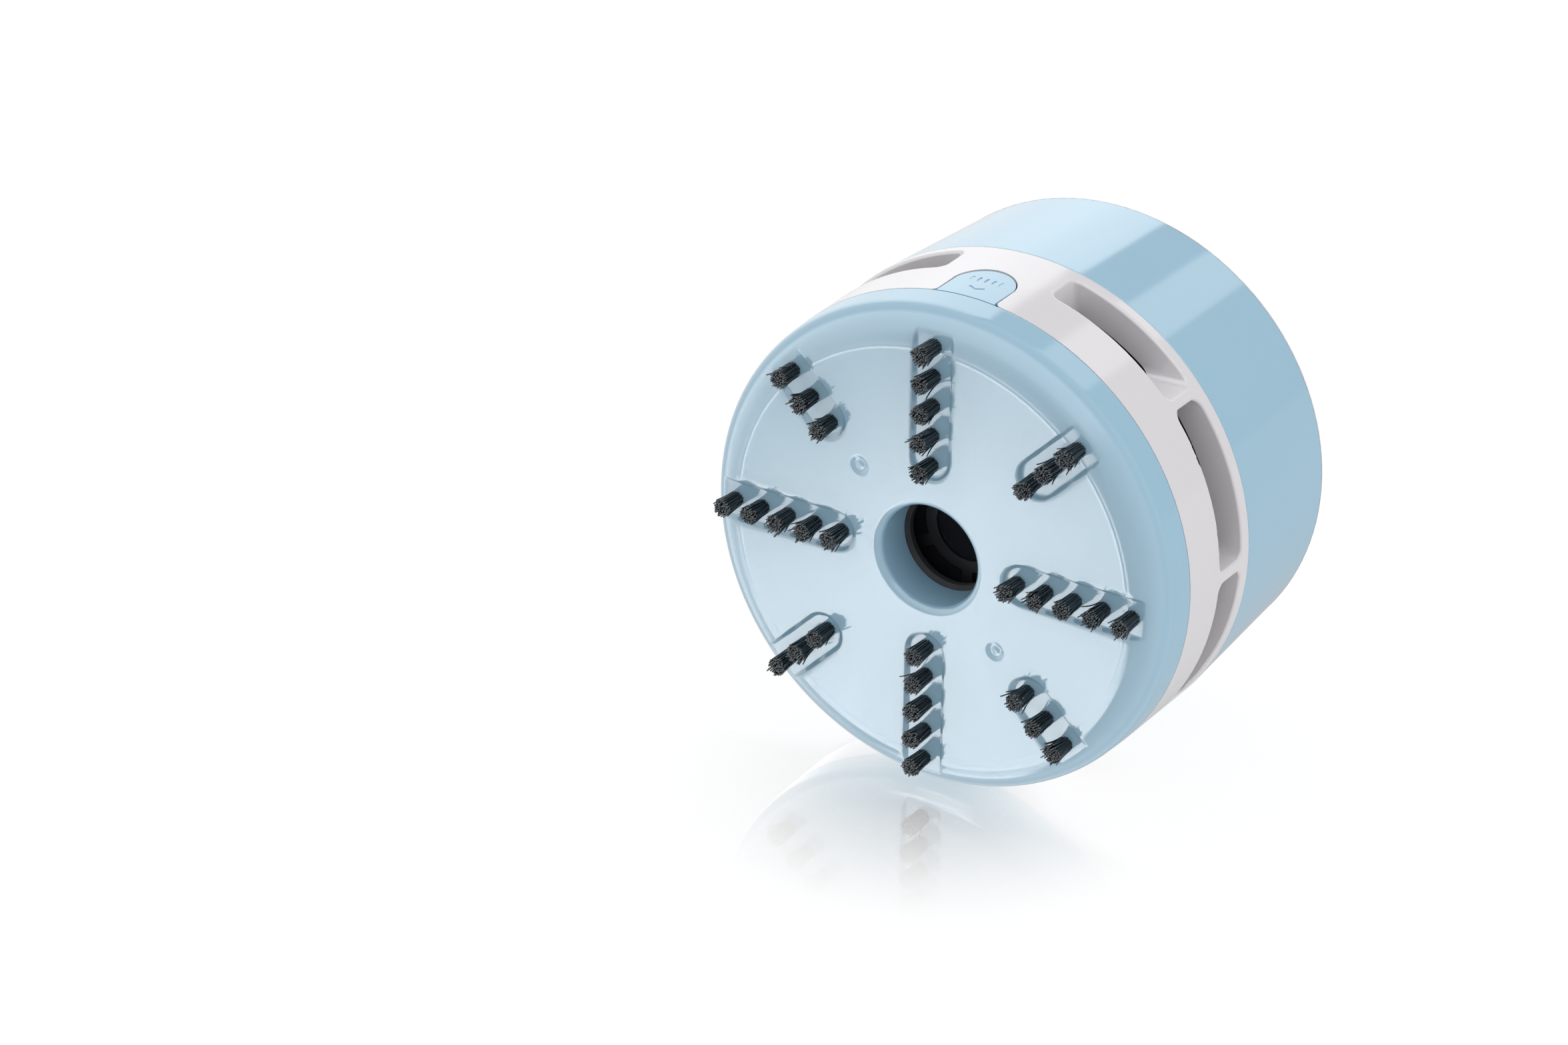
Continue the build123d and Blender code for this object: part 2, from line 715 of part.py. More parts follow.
# ==== motor ===================================================================================
with BuildPart() as motor_can:
    turn([
        (shaft_radius + shaft_fit, z_motor - motor_boss_height),
        (motor_boss_radius, z_motor - motor_boss_height),
        (motor_boss_radius, z_motor),
        (motor_radius, z_motor),
        (motor_radius, z_end_cap),
        (motor_radius - can_wall, z_end_cap),
        (motor_radius - can_wall, z_motor + can_wall),
        (shaft_radius + shaft_fit, z_motor + can_wall),
    ])
    with BuildSketch(Plane.XY.offset(z_motor)) as can_holes:
        with PolarLocations(motor_screw_place, motor_screw_count):
            Circle(motor_screw_radius)
    extrude(can_holes.sketch, amount=can_wall, mode=Mode.SUBTRACT)

save(motor_can, "motor_can")

with BuildPart() as motor_magnets:
    with BuildSketch(Plane.XY.offset(z_motor + can_wall)) as magnets:
        Circle(motor_radius - can_wall)
        Circle(rotor_radius + air_gap, mode=Mode.SUBTRACT)
        with PolarLocations(0, 2):
            gap_half = radians(90.0 - magnet_span / 2)
            Polygon(
                (0, 0),
                (2 * motor_radius * cos(gap_half), -2 * motor_radius * sin(gap_half)),
                (2 * motor_radius * cos(gap_half), 2 * motor_radius * sin(gap_half)),
                align=None,
                mode=Mode.SUBTRACT,
            )
    extrude(magnets.sketch, amount=z_end_cap - magnet_end_gap - z_motor - can_wall)

save(motor_magnets, "motor_magnets")

terminal_end = motor_radius + terminal_reach
with BuildPart() as motor_end_cap:
    ring(0, motor_radius - end_cap_inset, z_end_cap, z_motor_top)
    ring(0, motor_radius - can_wall, z_end_cap - end_cap_plug, z_end_cap)
    bearing_top = z_motor_top - bearing_cover
    ring(0, shaft_radius + shaft_fit, z_end_cap - end_cap_plug, bearing_top, mode=Mode.SUBTRACT)
    # Two flat terminals stand out at the side towards the solder tails.
    with BuildSketch(Plane.XY.offset(z_end_cap)) as terminals:
        for side in (-1, 1):
            with Locations((-(terminal_end + terminal_start) / 2, side * terminal_place)):
                Rectangle(terminal_end - terminal_start, terminal_width)
    extrude(terminals.sketch, amount=terminal_wall)

save(motor_end_cap, "motor_end_cap")

z_rotor = z_motor + can_wall + rotor_low_gap
z_rotor_top = z_end_cap - end_cap_plug - rotor_high_gap
with BuildPart() as motor_rotor:
    ring(shaft_radius, rotor_radius, z_rotor, z_rotor_top)
    with BuildSketch(Plane.XY.offset(z_rotor)) as rotor_slots:
        with PolarLocations(rotor_radius, rotor_slot_count):
            Rectangle(2 * rotor_slot_depth, rotor_slot)
    extrude(rotor_slots.sketch, amount=z_rotor_top - z_rotor, mode=Mode.SUBTRACT)

save(motor_rotor, "motor_rotor")

with BuildPart() as motor_shaft:
    ring(0, shaft_radius, z_hub, z_motor_top - shaft_end_gap)

save(motor_shaft, "motor_shaft")

# ==== motor plate =============================================================================
ring_inner = motor_radius + socket_fit
with BuildPart() as motor_plate:
    rim_r = shell_inner_waist - locating_gap - fit_gap
    turn([
        (motor_boss_radius + fit_gap, z_plate_boss),
        (plate_boss_radius, z_plate_boss),
        (plate_boss_radius, z_plate),
        (plate_radius, z_plate),
        (plate_radius, z_waist),
        (rim_r, z_waist),
        (rim_r, z_waist + locating_rim_height),
        (rim_r - locating_rim_wall, z_waist + locating_rim_height),
        (rim_r - locating_rim_wall, z_waist),
        (ring_inner + socket_wall, z_waist),
        (ring_inner + socket_wall, z_motor + socket_rise),
        (ring_inner, z_motor + socket_rise),
        (ring_inner, z_motor),
        (motor_boss_radius + fit_gap, z_motor),
    ])
    with BuildSketch(Plane.XY.offset(z_plate)) as plate_holes:
        with PolarLocations(case_screw_place, case_screw_count, case_screw_angle):
            Circle(case_screw_radius + screw_hole_gap)
    extrude(plate_holes.sketch, amount=plate_wall, mode=Mode.SUBTRACT)
    with BuildSketch(Plane.XY.offset(z_plate_boss)) as motor_screw_holes:
        with PolarLocations(motor_screw_place, motor_screw_count):
            Circle(motor_screw_radius + screw_hole_gap)
    extrude(motor_screw_holes.sketch, amount=motor_seat_wall, mode=Mode.SUBTRACT)
    with BuildSketch(Plane.XY.offset(z_plate_boss)) as motor_head_holes:
        with PolarLocations(motor_screw_place, motor_screw_count):
            Circle(motor_screw_head + screw_hole_gap)
    extrude(motor_head_holes.sketch, amount=motor_screw_head_height, mode=Mode.SUBTRACT)

save(motor_plate, "motor_plate")


# ==== screws ==================================================================================
def pan_screws(places, bottom, head_radius, head_height, shank_radius, shank_length):
    """Screws that point upwards: a flat head with a cross slot, and a plain shank."""
    with BuildSketch(Plane.XY.offset(bottom)) as heads:
        with Locations(*places):
            Circle(head_radius)
    extrude(heads.sketch, amount=head_height)
    with BuildSketch(Plane.XY.offset(bottom + head_height)) as shanks:
        with Locations(*places):
            Circle(shank_radius)
    extrude(shanks.sketch, amount=shank_length)
    with BuildSketch(Plane.XY.offset(bottom)) as drives:
        with Locations(*places):
            Rectangle(head_radius * drive_length, head_radius * drive_width)
            Rectangle(head_radius * drive_width, head_radius * drive_length)
    extrude(drives.sketch, amount=head_height * drive_depth, mode=Mode.SUBTRACT)


def circle_places(radius, count, start):
    """Places evenly spaced on a circle."""
    angles = [radians(start + 360.0 / count * index) for index in range(count)]
    return [(radius * cos(angle), radius * sin(angle)) for angle in angles]


with BuildPart() as motor_screws:
    pan_screws(
        circle_places(motor_screw_place, motor_screw_count, 0), z_plate_boss,
        motor_screw_head, motor_screw_head_height, motor_screw_radius,
        motor_seat_wall - motor_screw_head_height + can_wall,
    )

save(motor_screws, "motor_screws")

z_screw_head = z_housing + head_recess - case_screw_head_height
with BuildPart() as case_screws:
    pan_screws(
        circle_places(case_screw_place, case_screw_count, case_screw_angle), z_screw_head,
        case_screw_head, case_screw_head_height, case_screw_radius,
        z_waist + case_screw_grip - z_screw_head - case_screw_head_height,
    )

save(case_screws, "case_screws")

# ==== upper shell =============================================================================
with BuildPart() as upper_shell:
    with BuildSketch(Plane.XZ) as shell_section:
        with BuildLine():
            Polyline(
                (shell_inner_waist, z_waist),
                (waist_radius, z_waist),
                (crown_radius, z_crown),
                (shell_inner_crown, z_crown),
                close=True,
            )
        make_face()
        chamfer(corner(shell_section, waist_radius, z_waist), shell_bevel)
    revolve(axis=Axis.Z)
    post_reach = shell_inner(z_waist + shell_post_height) + web_bite
    z_web = z_waist + locating_rim_height + web_gap
    with BuildSketch(Plane.XY.offset(z_web)) as webs:
        with PolarLocations((case_screw_place + post_reach) / 2, case_screw_count, case_screw_angle):
            Rectangle(post_reach - case_screw_place, post_web)
    extrude(webs.sketch, amount=z_waist + shell_post_height - z_web)
    with BuildSketch(Plane.XY.offset(z_waist)) as shell_posts:
        with PolarLocations(case_screw_place, case_screw_count, case_screw_angle):
            Circle(post_radius)
    extrude(shell_posts.sketch, amount=shell_post_height)
    with BuildSketch(Plane.XY.offset(z_waist)) as thread_holes:
        with PolarLocations(case_screw_place, case_screw_count, case_screw_angle):
            Circle(case_screw_radius)
    extrude(thread_holes.sketch, amount=case_screw_grip + thread_tail, mode=Mode.SUBTRACT)

save(upper_shell, "upper_shell")

# ==== battery tray ============================================================================
tray_plane = Plane((0, tray_centre_y, z_tray))
ear_y = tray_width / 2 + tray_ear_reach
z_ear = z_cap_under - tray_ear_drop
tail_places = [
    (-bay_length / 2 + contact_wall / 2, -cell_spacing / 2),
    (-bay_length / 2 + contact_wall / 2, cell_spacing / 2),
]
with BuildPart() as battery_tray:
    with BuildSketch(tray_plane) as tray_outline:
        RectangleRounded(tray_length, tray_width, tray_rounding)
    extrude(tray_outline.sketch, amount=z_cap_under - z_tray)
    with BuildSketch(Plane((0, tray_centre_y, z_tray_floor_top))) as bay:
        Rectangle(bay_length, bay_width)
    extrude(bay.sketch, amount=z_cap_under - z_tray_floor_top, mode=Mode.SUBTRACT)
    with BuildSketch(tray_plane) as tail_slots:
        with Locations(*tail_places):
            Rectangle(contact_wall, tail_width + 2 * tail_gap)
    extrude(tail_slots.sketch, amount=tray_floor, mode=Mode.SUBTRACT)
    # Ears at both long sides, screwed to the top cap from below.
    with BuildSketch(Plane((0, tray_centre_y, z_ear))) as ears:
        with GridLocations(2 * tray_ear_place, 2 * ear_y, 2, 2):
            Circle(tray_ear_radius)
        with GridLocations(2 * tray_ear_place, tray_width + tray_ear_reach, 2, 2):
            Rectangle(2 * tray_ear_radius, tray_ear_reach)
        with GridLocations(2 * tray_ear_place, 2 * ear_y, 2, 2):
            Circle(tray_screw_radius + screw_hole_gap, mode=Mode.SUBTRACT)
    extrude(ears.sketch, amount=tray_ear_height)

save(battery_tray, "battery_tray")

# ==== battery cells ===========================================================================
for number, side in ((1, -1), (2, 1)):
    # The first cell points its nub to +X, the second to -X.
    point = -side
    flat_end = -point * (bay_length / 2 - contact_wall - spring_height)
    cell_plane = Plane(
        origin=(flat_end, tray_centre_y + side * cell_spacing / 2, z_cell_axis),
        x_dir=(0, 1, 0),
        z_dir=(point, 0, 0),
    )
    with BuildPart() as cell:
        with BuildSketch(cell_plane) as cell_circle:
            Circle(cell_radius)
        extrude(cell_circle.sketch, amount=cell_length)
        chamfer(cell.edges().filter_by(GeomType.CIRCLE), cell_edge)
        with BuildSketch(cell_plane.offset(cell_length)) as nub_circle:
            Circle(cell_nub_radius)
        extrude(nub_circle.sketch, amount=cell_nub_height)
    save(cell, "battery_" + str(number))

# ==== battery contacts ========================================================================
bridge_x = bay_length / 2 - contact_wall
with BuildPart() as contact_bridge:
    with BuildSketch(
        Plane(origin=(bridge_x, tray_centre_y, z_cell_axis), x_dir=(0, 1, 0), z_dir=(1, 0, 0))
    ) as bridge:
        Rectangle(cell_spacing + contact_width, contact_height)
    extrude(bridge.sketch, amount=contact_wall)

save(contact_bridge, "contact_bridge")

for label, side in (("contact_negative", -1), ("contact_positive", 1)):
    contact_y = tray_centre_y + side * cell_spacing / 2
    with BuildPart() as contact:
        with BuildSketch(
            Plane(origin=(-bay_length / 2, contact_y, z_cell_axis), x_dir=(0, 1, 0), z_dir=(1, 0, 0))
        ) as contact_face:
            Rectangle(contact_width, contact_height)
            with Locations((0, (z_tray - tail_drop - z_cell_axis) / 2)):
                Rectangle(tail_width, z_cell_axis - z_tray + tail_drop)
        extrude(contact_face.sketch, amount=contact_wall)
    save(contact, label)

# Springs press on the flat end of each cell: the first at -X, the second at +X.
for label, side in (("spring_negative", -1), ("spring_bridge", 1)):
    spring_x = side * (bay_length / 2 - contact_wall)
    spring_y = tray_centre_y + side * cell_spacing / 2
    spring_plane = Plane(
        origin=(spring_x, spring_y, z_cell_axis),
        x_dir=(0, 1, 0),
        z_dir=(-side, 0, 0),
    )
    with BuildPart() as spring:
        with BuildSketch(spring_plane) as spring_base:
            Circle(spring_base_radius)
        with BuildSketch(spring_plane.offset(spring_height)) as spring_tip:
            Circle(spring_tip_radius)
        loft(sections=[spring_base.sketch, spring_tip.sketch])
        with BuildSketch(spring_plane) as spring_hollow:
            Circle(spring_tip_radius - spring_wire)
        extrude(spring_hollow.sketch, amount=spring_height, mode=Mode.SUBTRACT)
    save(spring, label)

# ==== top cap =================================================================================
ear_places = [
    (side_x * tray_ear_place, tray_centre_y + side_y * ear_y)
    for side_x in (-1, 1)
    for side_y in (-1, 1)
]
switch_screw_places = [(-switch_screw_place, switch_y), (switch_screw_place, switch_y)]
window_length = stem_length + switch_travel + 2 * stem_gap
window_width = stem_width + 2 * stem_gap
with BuildPart() as top_cap:
    with BuildSketch(Plane.XZ) as cap_section:
        with BuildLine():
            Polyline(
                (0, z_cap_under),
                (skirt_inner, z_cap_under),
                (skirt_inner, z_cap_under - cap_skirt),
                (cap_spigot, z_cap_under - cap_skirt),
                (cap_spigot, z_crown),
                (crown_radius, z_crown),
                (crown_radius, z_top),
                (0, z_top),
                close=True,
            )
        make_face()
        fillet(corner(cap_section, crown_radius, z_top), cap_rounding)
    revolve(axis=Axis.Z)
    # Opening for the battery door.
    with BuildSketch(Plane((0, tray_centre_y, z_cap_under))) as door_opening:
        RectangleRounded(opening_length, opening_width, door_rounding)
    extrude(door_opening.sketch, amount=cap_plate, mode=Mode.SUBTRACT)
    # Sunk dish for the switch, in a pan under the plate.
    with BuildSketch(Plane((0, switch_y, z_pan))) as pan:
        SlotOverall(dish_length + 2 * pan_wall, dish_width + 2 * pan_wall)
    extrude(pan.sketch, amount=z_cap_under - z_pan)
    with BuildSketch(Plane((0, switch_y, z_dish))) as dish:
        SlotOverall(dish_length, dish_width)
    extrude(dish.sketch, amount=dish_depth, mode=Mode.SUBTRACT)
    with BuildSketch(Plane((0, switch_y, z_pan))) as window:
        Rectangle(window_length, window_width)
    extrude(window.sketch, amount=pan_wall, mode=Mode.SUBTRACT)
    # Bosses for the tray and for the switch.
    with BuildSketch(Plane.XY.offset(z_ear + tray_ear_height)) as tray_bosses:
        with Locations(*ear_places):
            Circle(tray_ear_radius)
    extrude(tray_bosses.sketch, amount=z_cap_under - z_ear - tray_ear_height)
    with BuildSketch(Plane.XY.offset(z_ear + tray_ear_height)) as tray_threads:
        with Locations(*ear_places):
            Circle(tray_screw_radius)
    extrude(tray_threads.sketch, amount=tray_screw_grip, mode=Mode.SUBTRACT)
    with BuildSketch(Plane.XY.offset(z_switch)) as switch_bosses:
        with Locations(*switch_screw_places):
            Circle(switch_boss_radius)
    extrude(switch_bosses.sketch, amount=switch_boss_height)
    with BuildSketch(Plane.XY.offset(z_switch)) as switch_threads:
        with Locations(*switch_screw_places):
            Circle(switch_screw_radius)
    extrude(switch_threads.sketch, amount=switch_screw_grip, mode=Mode.SUBTRACT)

save(top_cap, "top_cap")

with BuildPart() as tray_screws:
    pan_screws(
        ear_places, z_ear - tray_screw_head_height,
        tray_screw_head, tray_screw_head_height, tray_screw_radius,
        tray_ear_height + tray_screw_grip,
    )

save(tray_screws, "tray_screws")

# ==== battery door ============================================================================
with BuildPart() as battery_door:
    with BuildSketch(Plane((0, tray_centre_y, z_cap_under))) as door_outline:
        RectangleRounded(
            opening_length - 2 * door_gap,
            opening_width - 2 * door_gap,
            door_rounding - door_gap,
        )
    extrude(door_outline.sketch, amount=cap_plate)
    # Grip: a shallow thumb hollow with ridges across it.
    grip_x = opening_length / 2 - grip_length
    with BuildSketch(Plane((grip_x, tray_centre_y, z_top))) as grip:
        RectangleRounded(grip_length, grip_width, grip_rounding)
    extrude(grip.sketch, amount=-grip_depth, mode=Mode.SUBTRACT)
    with BuildSketch(Plane((grip_x, tray_centre_y, z_top - grip_depth))) as ridges:
        with GridLocations(grip_ridge_spacing, 1, grip_ridge_count, 1):
            SlotOverall(grip_width - 2 * grip_rounding, grip_ridge_width, rotation=90)
    extrude(ridges.sketch, amount=grip_ridge)

save(battery_door, "battery_door")

# ==== switch ==================================================================================
knob_x = -switch_travel / 2
z_knob = z_dish + knob_float
z_knob_top = z_top - knob_drop
z_stem = z_pan - stem_height + pan_wall
with BuildPart() as switch_knob:
    with BuildSketch(Plane((knob_x, switch_y, z_knob))) as knob_outline:
        RectangleRounded(knob_length, knob_width, knob_rounding)
    extrude(knob_outline.sketch, amount=z_knob_top - z_knob)
    with BuildSketch(Plane((knob_x, switch_y, z_knob_top))) as knob_grooves:
        with GridLocations(knob_ridge_spacing, 1, knob_ridge_count, 1):
            Rectangle(knob_groove, knob_width)
    extrude(knob_grooves.sketch, amount=-knob_groove, mode=Mode.SUBTRACT)
    with BuildSketch(Plane((knob_x, switch_y, z_stem))) as stem:
        Rectangle(stem_length, stem_width)
    extrude(stem.sketch, amount=z_knob - z_stem)
    with BuildSketch(Plane((knob_x, switch_y, z_stem))) as lever_pocket:
        Rectangle(lever_size + 2 * lever_gap, lever_size + 2 * lever_gap)
    extrude(lever_pocket.sketch, amount=lever_grip + lever_gap, mode=Mode.SUBTRACT)

save(switch_knob, "switch_knob")

z_lever_top = z_stem + lever_grip
z_lever = z_switch - lever_drop
with BuildPart() as switch_lever:
    with BuildSketch(Plane((knob_x, switch_y, z_lever))) as lever:
        Rectangle(lever_size, lever_size)
    extrude(lever.sketch, amount=z_lever_top - z_lever)

save(switch_lever, "switch_lever")

z_switch_base = z_switch - switch_body_height
with BuildPart() as switch_body:
    with BuildSketch(Plane((0, switch_y, z_switch_base))) as switch_box:
        Rectangle(switch_body_length, switch_body_width)
    extrude(switch_box.sketch, amount=switch_body_height)
    with BuildSketch(Plane((0, switch_y, z_switch - switch_ear_wall))) as switch_ears:
        SlotOverall(switch_ear_length, switch_ear_width)
        with GridLocations(2 * switch_screw_place, 1, 2, 1):
            Circle(switch_screw_radius + screw_hole_gap, mode=Mode.SUBTRACT)
    extrude(switch_ears.sketch, amount=switch_ear_wall)
    with BuildSketch(Plane((0, switch_y, z_switch))) as lever_slot:
        Rectangle(lever_size + switch_travel + 2 * lever_end_gap, lever_size + 2 * lever_side_gap)
    extrude(lever_slot.sketch, amount=-lever_drop - lever_end_gap, mode=Mode.SUBTRACT)
    with BuildSketch(Plane((0, switch_y, z_switch_base))) as pins:
        with GridLocations(pin_spacing, 1, pin_count, 1):
            Rectangle(pin_wall, pin_width)
    extrude(pins.sketch, amount=-pin_length)

save(switch_body, "switch_body")

with BuildPart() as switch_screws:
    pan_screws(
        switch_screw_places, z_switch - switch_ear_wall - switch_screw_head_height,
        switch_screw_head, switch_screw_head_height, switch_screw_radius,
        switch_ear_wall + switch_screw_grip,
    )

save(switch_screws, "switch_screws")


# ==== leads ===================================================================================
def lead(points):
    """A stranded lead along its route; each bend is as wide as its two runs allow."""
    bends = []
    for before, here, after in zip(points, points[1:], points[2:]):
        run_in = Vector(here) - Vector(before)
        run_out = Vector(after) - Vector(here)
        half_turn = radians(run_in.get_angle(run_out)) / 2
        shorter = min(run_in.length, run_out.length)
        bends.append(bend_share * shorter * cos(half_turn) / sin(half_turn))
    with BuildPart() as tube:
        with BuildLine() as route:
            FilletPolyline(*points, radius=bends)
        with BuildSketch(Plane(origin=route.line @ 0, z_dir=route.line % 0)) as cross_section:
            Circle(lead_radius)
        sweep(cross_section.sketch, path=route.line)
    return tube


z_tail = z_tray - tail_drop - lead_gap
tail_x = tail_places[0][0]
tail_negative_y = tray_centre_y - cell_spacing / 2
tail_positive_y = tray_centre_y + cell_spacing / 2
z_terminal = z_end_cap - lead_gap
terminal_x = lead_radius - terminal_end
z_pin = z_switch_base - pin_length - lead_gap
z_lead = z_tail - lead_exit - lead_dip

# From the first cell to the motor, under the tray.
lead_negative = lead([
    (tail_x, tail_negative_y, z_tail),
    (tail_x, tail_negative_y, z_tail - lead_exit),
    (tail_x + lead_sweep, tail_negative_y + lead_sweep, z_lead),
    (terminal_x - lead_sweep, -2 * terminal_place, z_lead),
    (terminal_x, -terminal_place, z_terminal - lead_exit),
    (terminal_x, -terminal_place, z_terminal),
])
save(lead_negative, "lead_negative")

# From the second cell round the motor to the switch.
lead_positive = lead([
    (tail_x, tail_positive_y, z_tail),
    (tail_x, tail_positive_y, z_tail - lead_exit),
    (tail_x + lead_sweep, tail_positive_y + lead_sweep, z_lead),
    (terminal_x, switch_y - lead_sweep, z_lead),
    (-pin_spacing, switch_y, z_lead + lead_sweep),
    (-pin_spacing, switch_y, z_pin),
])
save(lead_positive, "lead_positive")

# From the switch's middle pin to the motor.
lead_motor = lead([
    (0, switch_y, z_pin),
    (0, switch_y, z_lead + lead_sweep),
    (terminal_x / 2, switch_y - 1.5 * lead_sweep, z_lead),
    (terminal_x - lead_sweep / 2, terminal_place + lead_sweep, z_lead),
    (terminal_x, terminal_place, z_terminal - lead_exit),
    (terminal_x, terminal_place, z_terminal),
])
save(lead_motor, "lead_motor")
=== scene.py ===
# %% [markdown]
# # Desktop mini vacuum cleaner
#
# The vacuum is a short drum of light blue and white moulded plastic. It stands on eight rows of
# black nylon tufts round a suction mouth. The photograph looks at it from below, so the underside
# gets the finest modelling here: the sunk grooves, the rounded edge and every single bristle.
#
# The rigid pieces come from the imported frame. Where a piece needs softer edges than its solid has,
# a surface worked out with numpy takes its place.

# %% Load the frame
import json
import math

import bpy
import numpy as np
from mathutils import Matrix, Vector


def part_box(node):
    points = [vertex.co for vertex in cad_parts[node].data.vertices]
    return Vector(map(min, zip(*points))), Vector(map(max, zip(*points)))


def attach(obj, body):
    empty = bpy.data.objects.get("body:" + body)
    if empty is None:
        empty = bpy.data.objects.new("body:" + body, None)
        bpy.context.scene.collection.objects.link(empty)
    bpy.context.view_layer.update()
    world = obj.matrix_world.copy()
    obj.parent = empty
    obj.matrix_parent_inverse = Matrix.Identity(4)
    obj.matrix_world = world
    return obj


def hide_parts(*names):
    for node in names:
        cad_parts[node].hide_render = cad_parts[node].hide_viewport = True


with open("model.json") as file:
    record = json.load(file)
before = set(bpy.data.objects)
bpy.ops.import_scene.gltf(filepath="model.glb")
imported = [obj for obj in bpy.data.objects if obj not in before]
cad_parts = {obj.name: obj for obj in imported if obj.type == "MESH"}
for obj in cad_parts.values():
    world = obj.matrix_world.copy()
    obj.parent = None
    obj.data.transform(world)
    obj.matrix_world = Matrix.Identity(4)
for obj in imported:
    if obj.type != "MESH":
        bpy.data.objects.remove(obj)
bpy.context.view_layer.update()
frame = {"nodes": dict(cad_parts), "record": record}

nodes = frame["nodes"]

# %% [markdown]
# ## Sizes
#
# Heights and outer radii are read from the nodes' boxes, so that they follow the frame. What the
# boxes don't say is named here, in metres like everything in Blender.

# %% Heights and radii
MM = 0.001
cover_low, cover_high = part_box("base_cover")
band_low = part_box("vent_band")[0]
face_height = cover_low[2]
rim_height = cover_high[2]
seam_height = band_low[2]
crown_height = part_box("upper_shell")[1][2]
lying_side = band_low[1]
seam_radius = cover_high[0]
cap_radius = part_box("top_cap")[1][0]

groove_depth = 0.67 * MM
plate_thickness = 1.7 * MM
tube_length = 5.3 * MM
root_height = face_height + groove_depth
dust_floor_height = root_height + plate_thickness
tube_height = dust_floor_height + tube_length
foot_radius = seam_radius - 0.45 * MM
mouth_radius = 8.8 * MM
tube_radius = 10.4 * MM
rim_outer = 40.2 * MM
rim_inner = 38.6 * MM
print("face", face_height, "roots", root_height, "seam", seam_height, "crown", crown_height)

# %% Tufts, grooves and dimples
tuft_places = np.array([36.8, 31.69, 26.58, 21.47, 16.36]) * MM
row_lengths = [5, 3, 5, 3, 5, 3, 5, 3]
row_angles = np.radians(np.arange(8) * 45.0)
groove_floor_half = 3.0 * MM
groove_wall_foot = 3.75 * MM
groove_end_gap = 0.91 * MM
dimple_angles = np.radians([45.0, 225.0])
dimple_place = 18.3 * MM
dimple_depth = 0.3 * MM
dimple_wall = (1.0 * MM, 1.65 * MM)
nub_height = 0.15 * MM
nub_wall = (0.1 * MM, 0.9 * MM)
crease_radius = 35.95 * MM
crease_width = 0.22 * MM
crease_height = 0.018 * MM
print(sum(row_lengths), "tufts in", len(row_lengths), "rows")

# %% [markdown]
# ## Shader arithmetic
#
# A finish is a handful of numbers that vary over a surface. Written as node links they are hard to
# read, so `Value` wraps a socket and turns `+ - *` into Math nodes, and `Nodes.node` adds any
# other node with its settings and inputs in one call.


# %% A socket that does arithmetic
class Value:
    """A shader socket in plain arithmetic: each operator adds one Math node to its tree."""

    def __init__(self, nodes, socket):
        self.nodes = nodes
        self.socket = socket

    def math(self, operation, first, second):
        """One Math node over two values or numbers, in that order."""
        return self.nodes.node("ShaderNodeMath", {"operation": operation}, {0: first, 1: second})

    def __add__(self, other):
        return self.math("ADD", self, other)

    def __sub__(self, other):
        return self.math("SUBTRACT", self, other)

    def __rsub__(self, other):
        return self.math("SUBTRACT", other, self)

    def __mul__(self, other):
        return self.math("MULTIPLY", self, other)

    __radd__ = __add__
    __rmul__ = __mul__

    def at_least(self, low):
        """This value, or low where that is more."""
        return self.math("MAXIMUM", self, low)

    def step(self, low, high):
        """0 below low, 1 above high, and a soft ramp between."""
        settings = {"interpolation_type": "SMOOTHSTEP"}
        inputs = {"Value": self, "From Min": low, "From Max": high}
        return self.nodes.node("ShaderNodeMapRange", settings, inputs)


# %% A finish and its nodes
def linear(red, green, blue):
    """A colour given as 0 to 255 screen values, as the linear colour that shaders take.

    It is the standard screen curve: a straight line in the darkest tones, a power of 2.4 above.
    """
    values = np.array([red, green, blue]) / 255.0
    curved = np.where(values < 0.04045, values / 12.92, ((values + 0.055) / 1.055) ** 2.4)
    return (*curved.tolist(), 1.0)


class Nodes:
    """A node tree under construction."""

    def __init__(self, tree):
        self.tree = tree

    def node(self, kind, settings, inputs, output=0):
        """Adds a node: settings first, then a value or a link for each input."""
        made = self.tree.nodes.new(kind)
        for setting, value in settings.items():
            setattr(made, setting, value)
        for socket, value in inputs.items():
            if isinstance(value, Value):
                self.tree.links.new(value.socket, made.inputs[socket])
            else:
                made.inputs[socket].default_value = value
        return Value(self, made.outputs[output])


finishes = {}


class Finish(Nodes):
    """A material with one Principled shader at its end, kept under its slot's name."""

    def __init__(self, name, colour, roughness, constants=None):
        self.material = bpy.data.materials.new(name + "_finish")
        finishes[name] = self.material
        self.material.use_nodes = True
        super().__init__(self.material.node_tree)
        self.shader = self.tree.nodes["Principled BSDF"]
        self.shader.inputs["Base Color"].default_value = colour
        self.shader.inputs["Roughness"].default_value = roughness
        for socket, value in (constants or {}).items():
            self.shader.inputs[socket].default_value = value
        self.place = self.node("ShaderNodeTexCoord", {}, {}, "Object")

    def noise(self, scale, detail=3.0, place=None):
        """Cloudy noise from 0 to 1, with so many lumps in a metre."""
        inputs = {"Vector": place or self.place, "Scale": scale, "Detail": detail}
        return self.node("ShaderNodeTexNoise", {}, inputs)

    def stretched(self, along_x, along_y, along_z):
        """Object coordinates scaled differently along each axis, for streaks."""
        inputs = {"Vector": self.place, "Scale": (along_x, along_y, along_z)}
        return self.node("ShaderNodeMapping", {}, inputs)

    def blend(self, amount, first, second):
        """A colour between two others, by a varying amount."""
        inputs = {"Factor": amount, "A": first, "B": second}
        return self.node("ShaderNodeMix", {"data_type": "RGBA"}, inputs, "Result")

    def feed(self, socket, value):
        """Links a varying value to one of the shader's sockets."""
        self.tree.links.new(value.socket, self.shader.inputs[socket])

    def bump(self, height, depth):
        """Fine relief: a height from 0 to 1, so many metres deep."""
        relief = self.node("ShaderNodeBump", {}, {"Height": height, "Distance": depth})
        self.feed("Normal", relief)


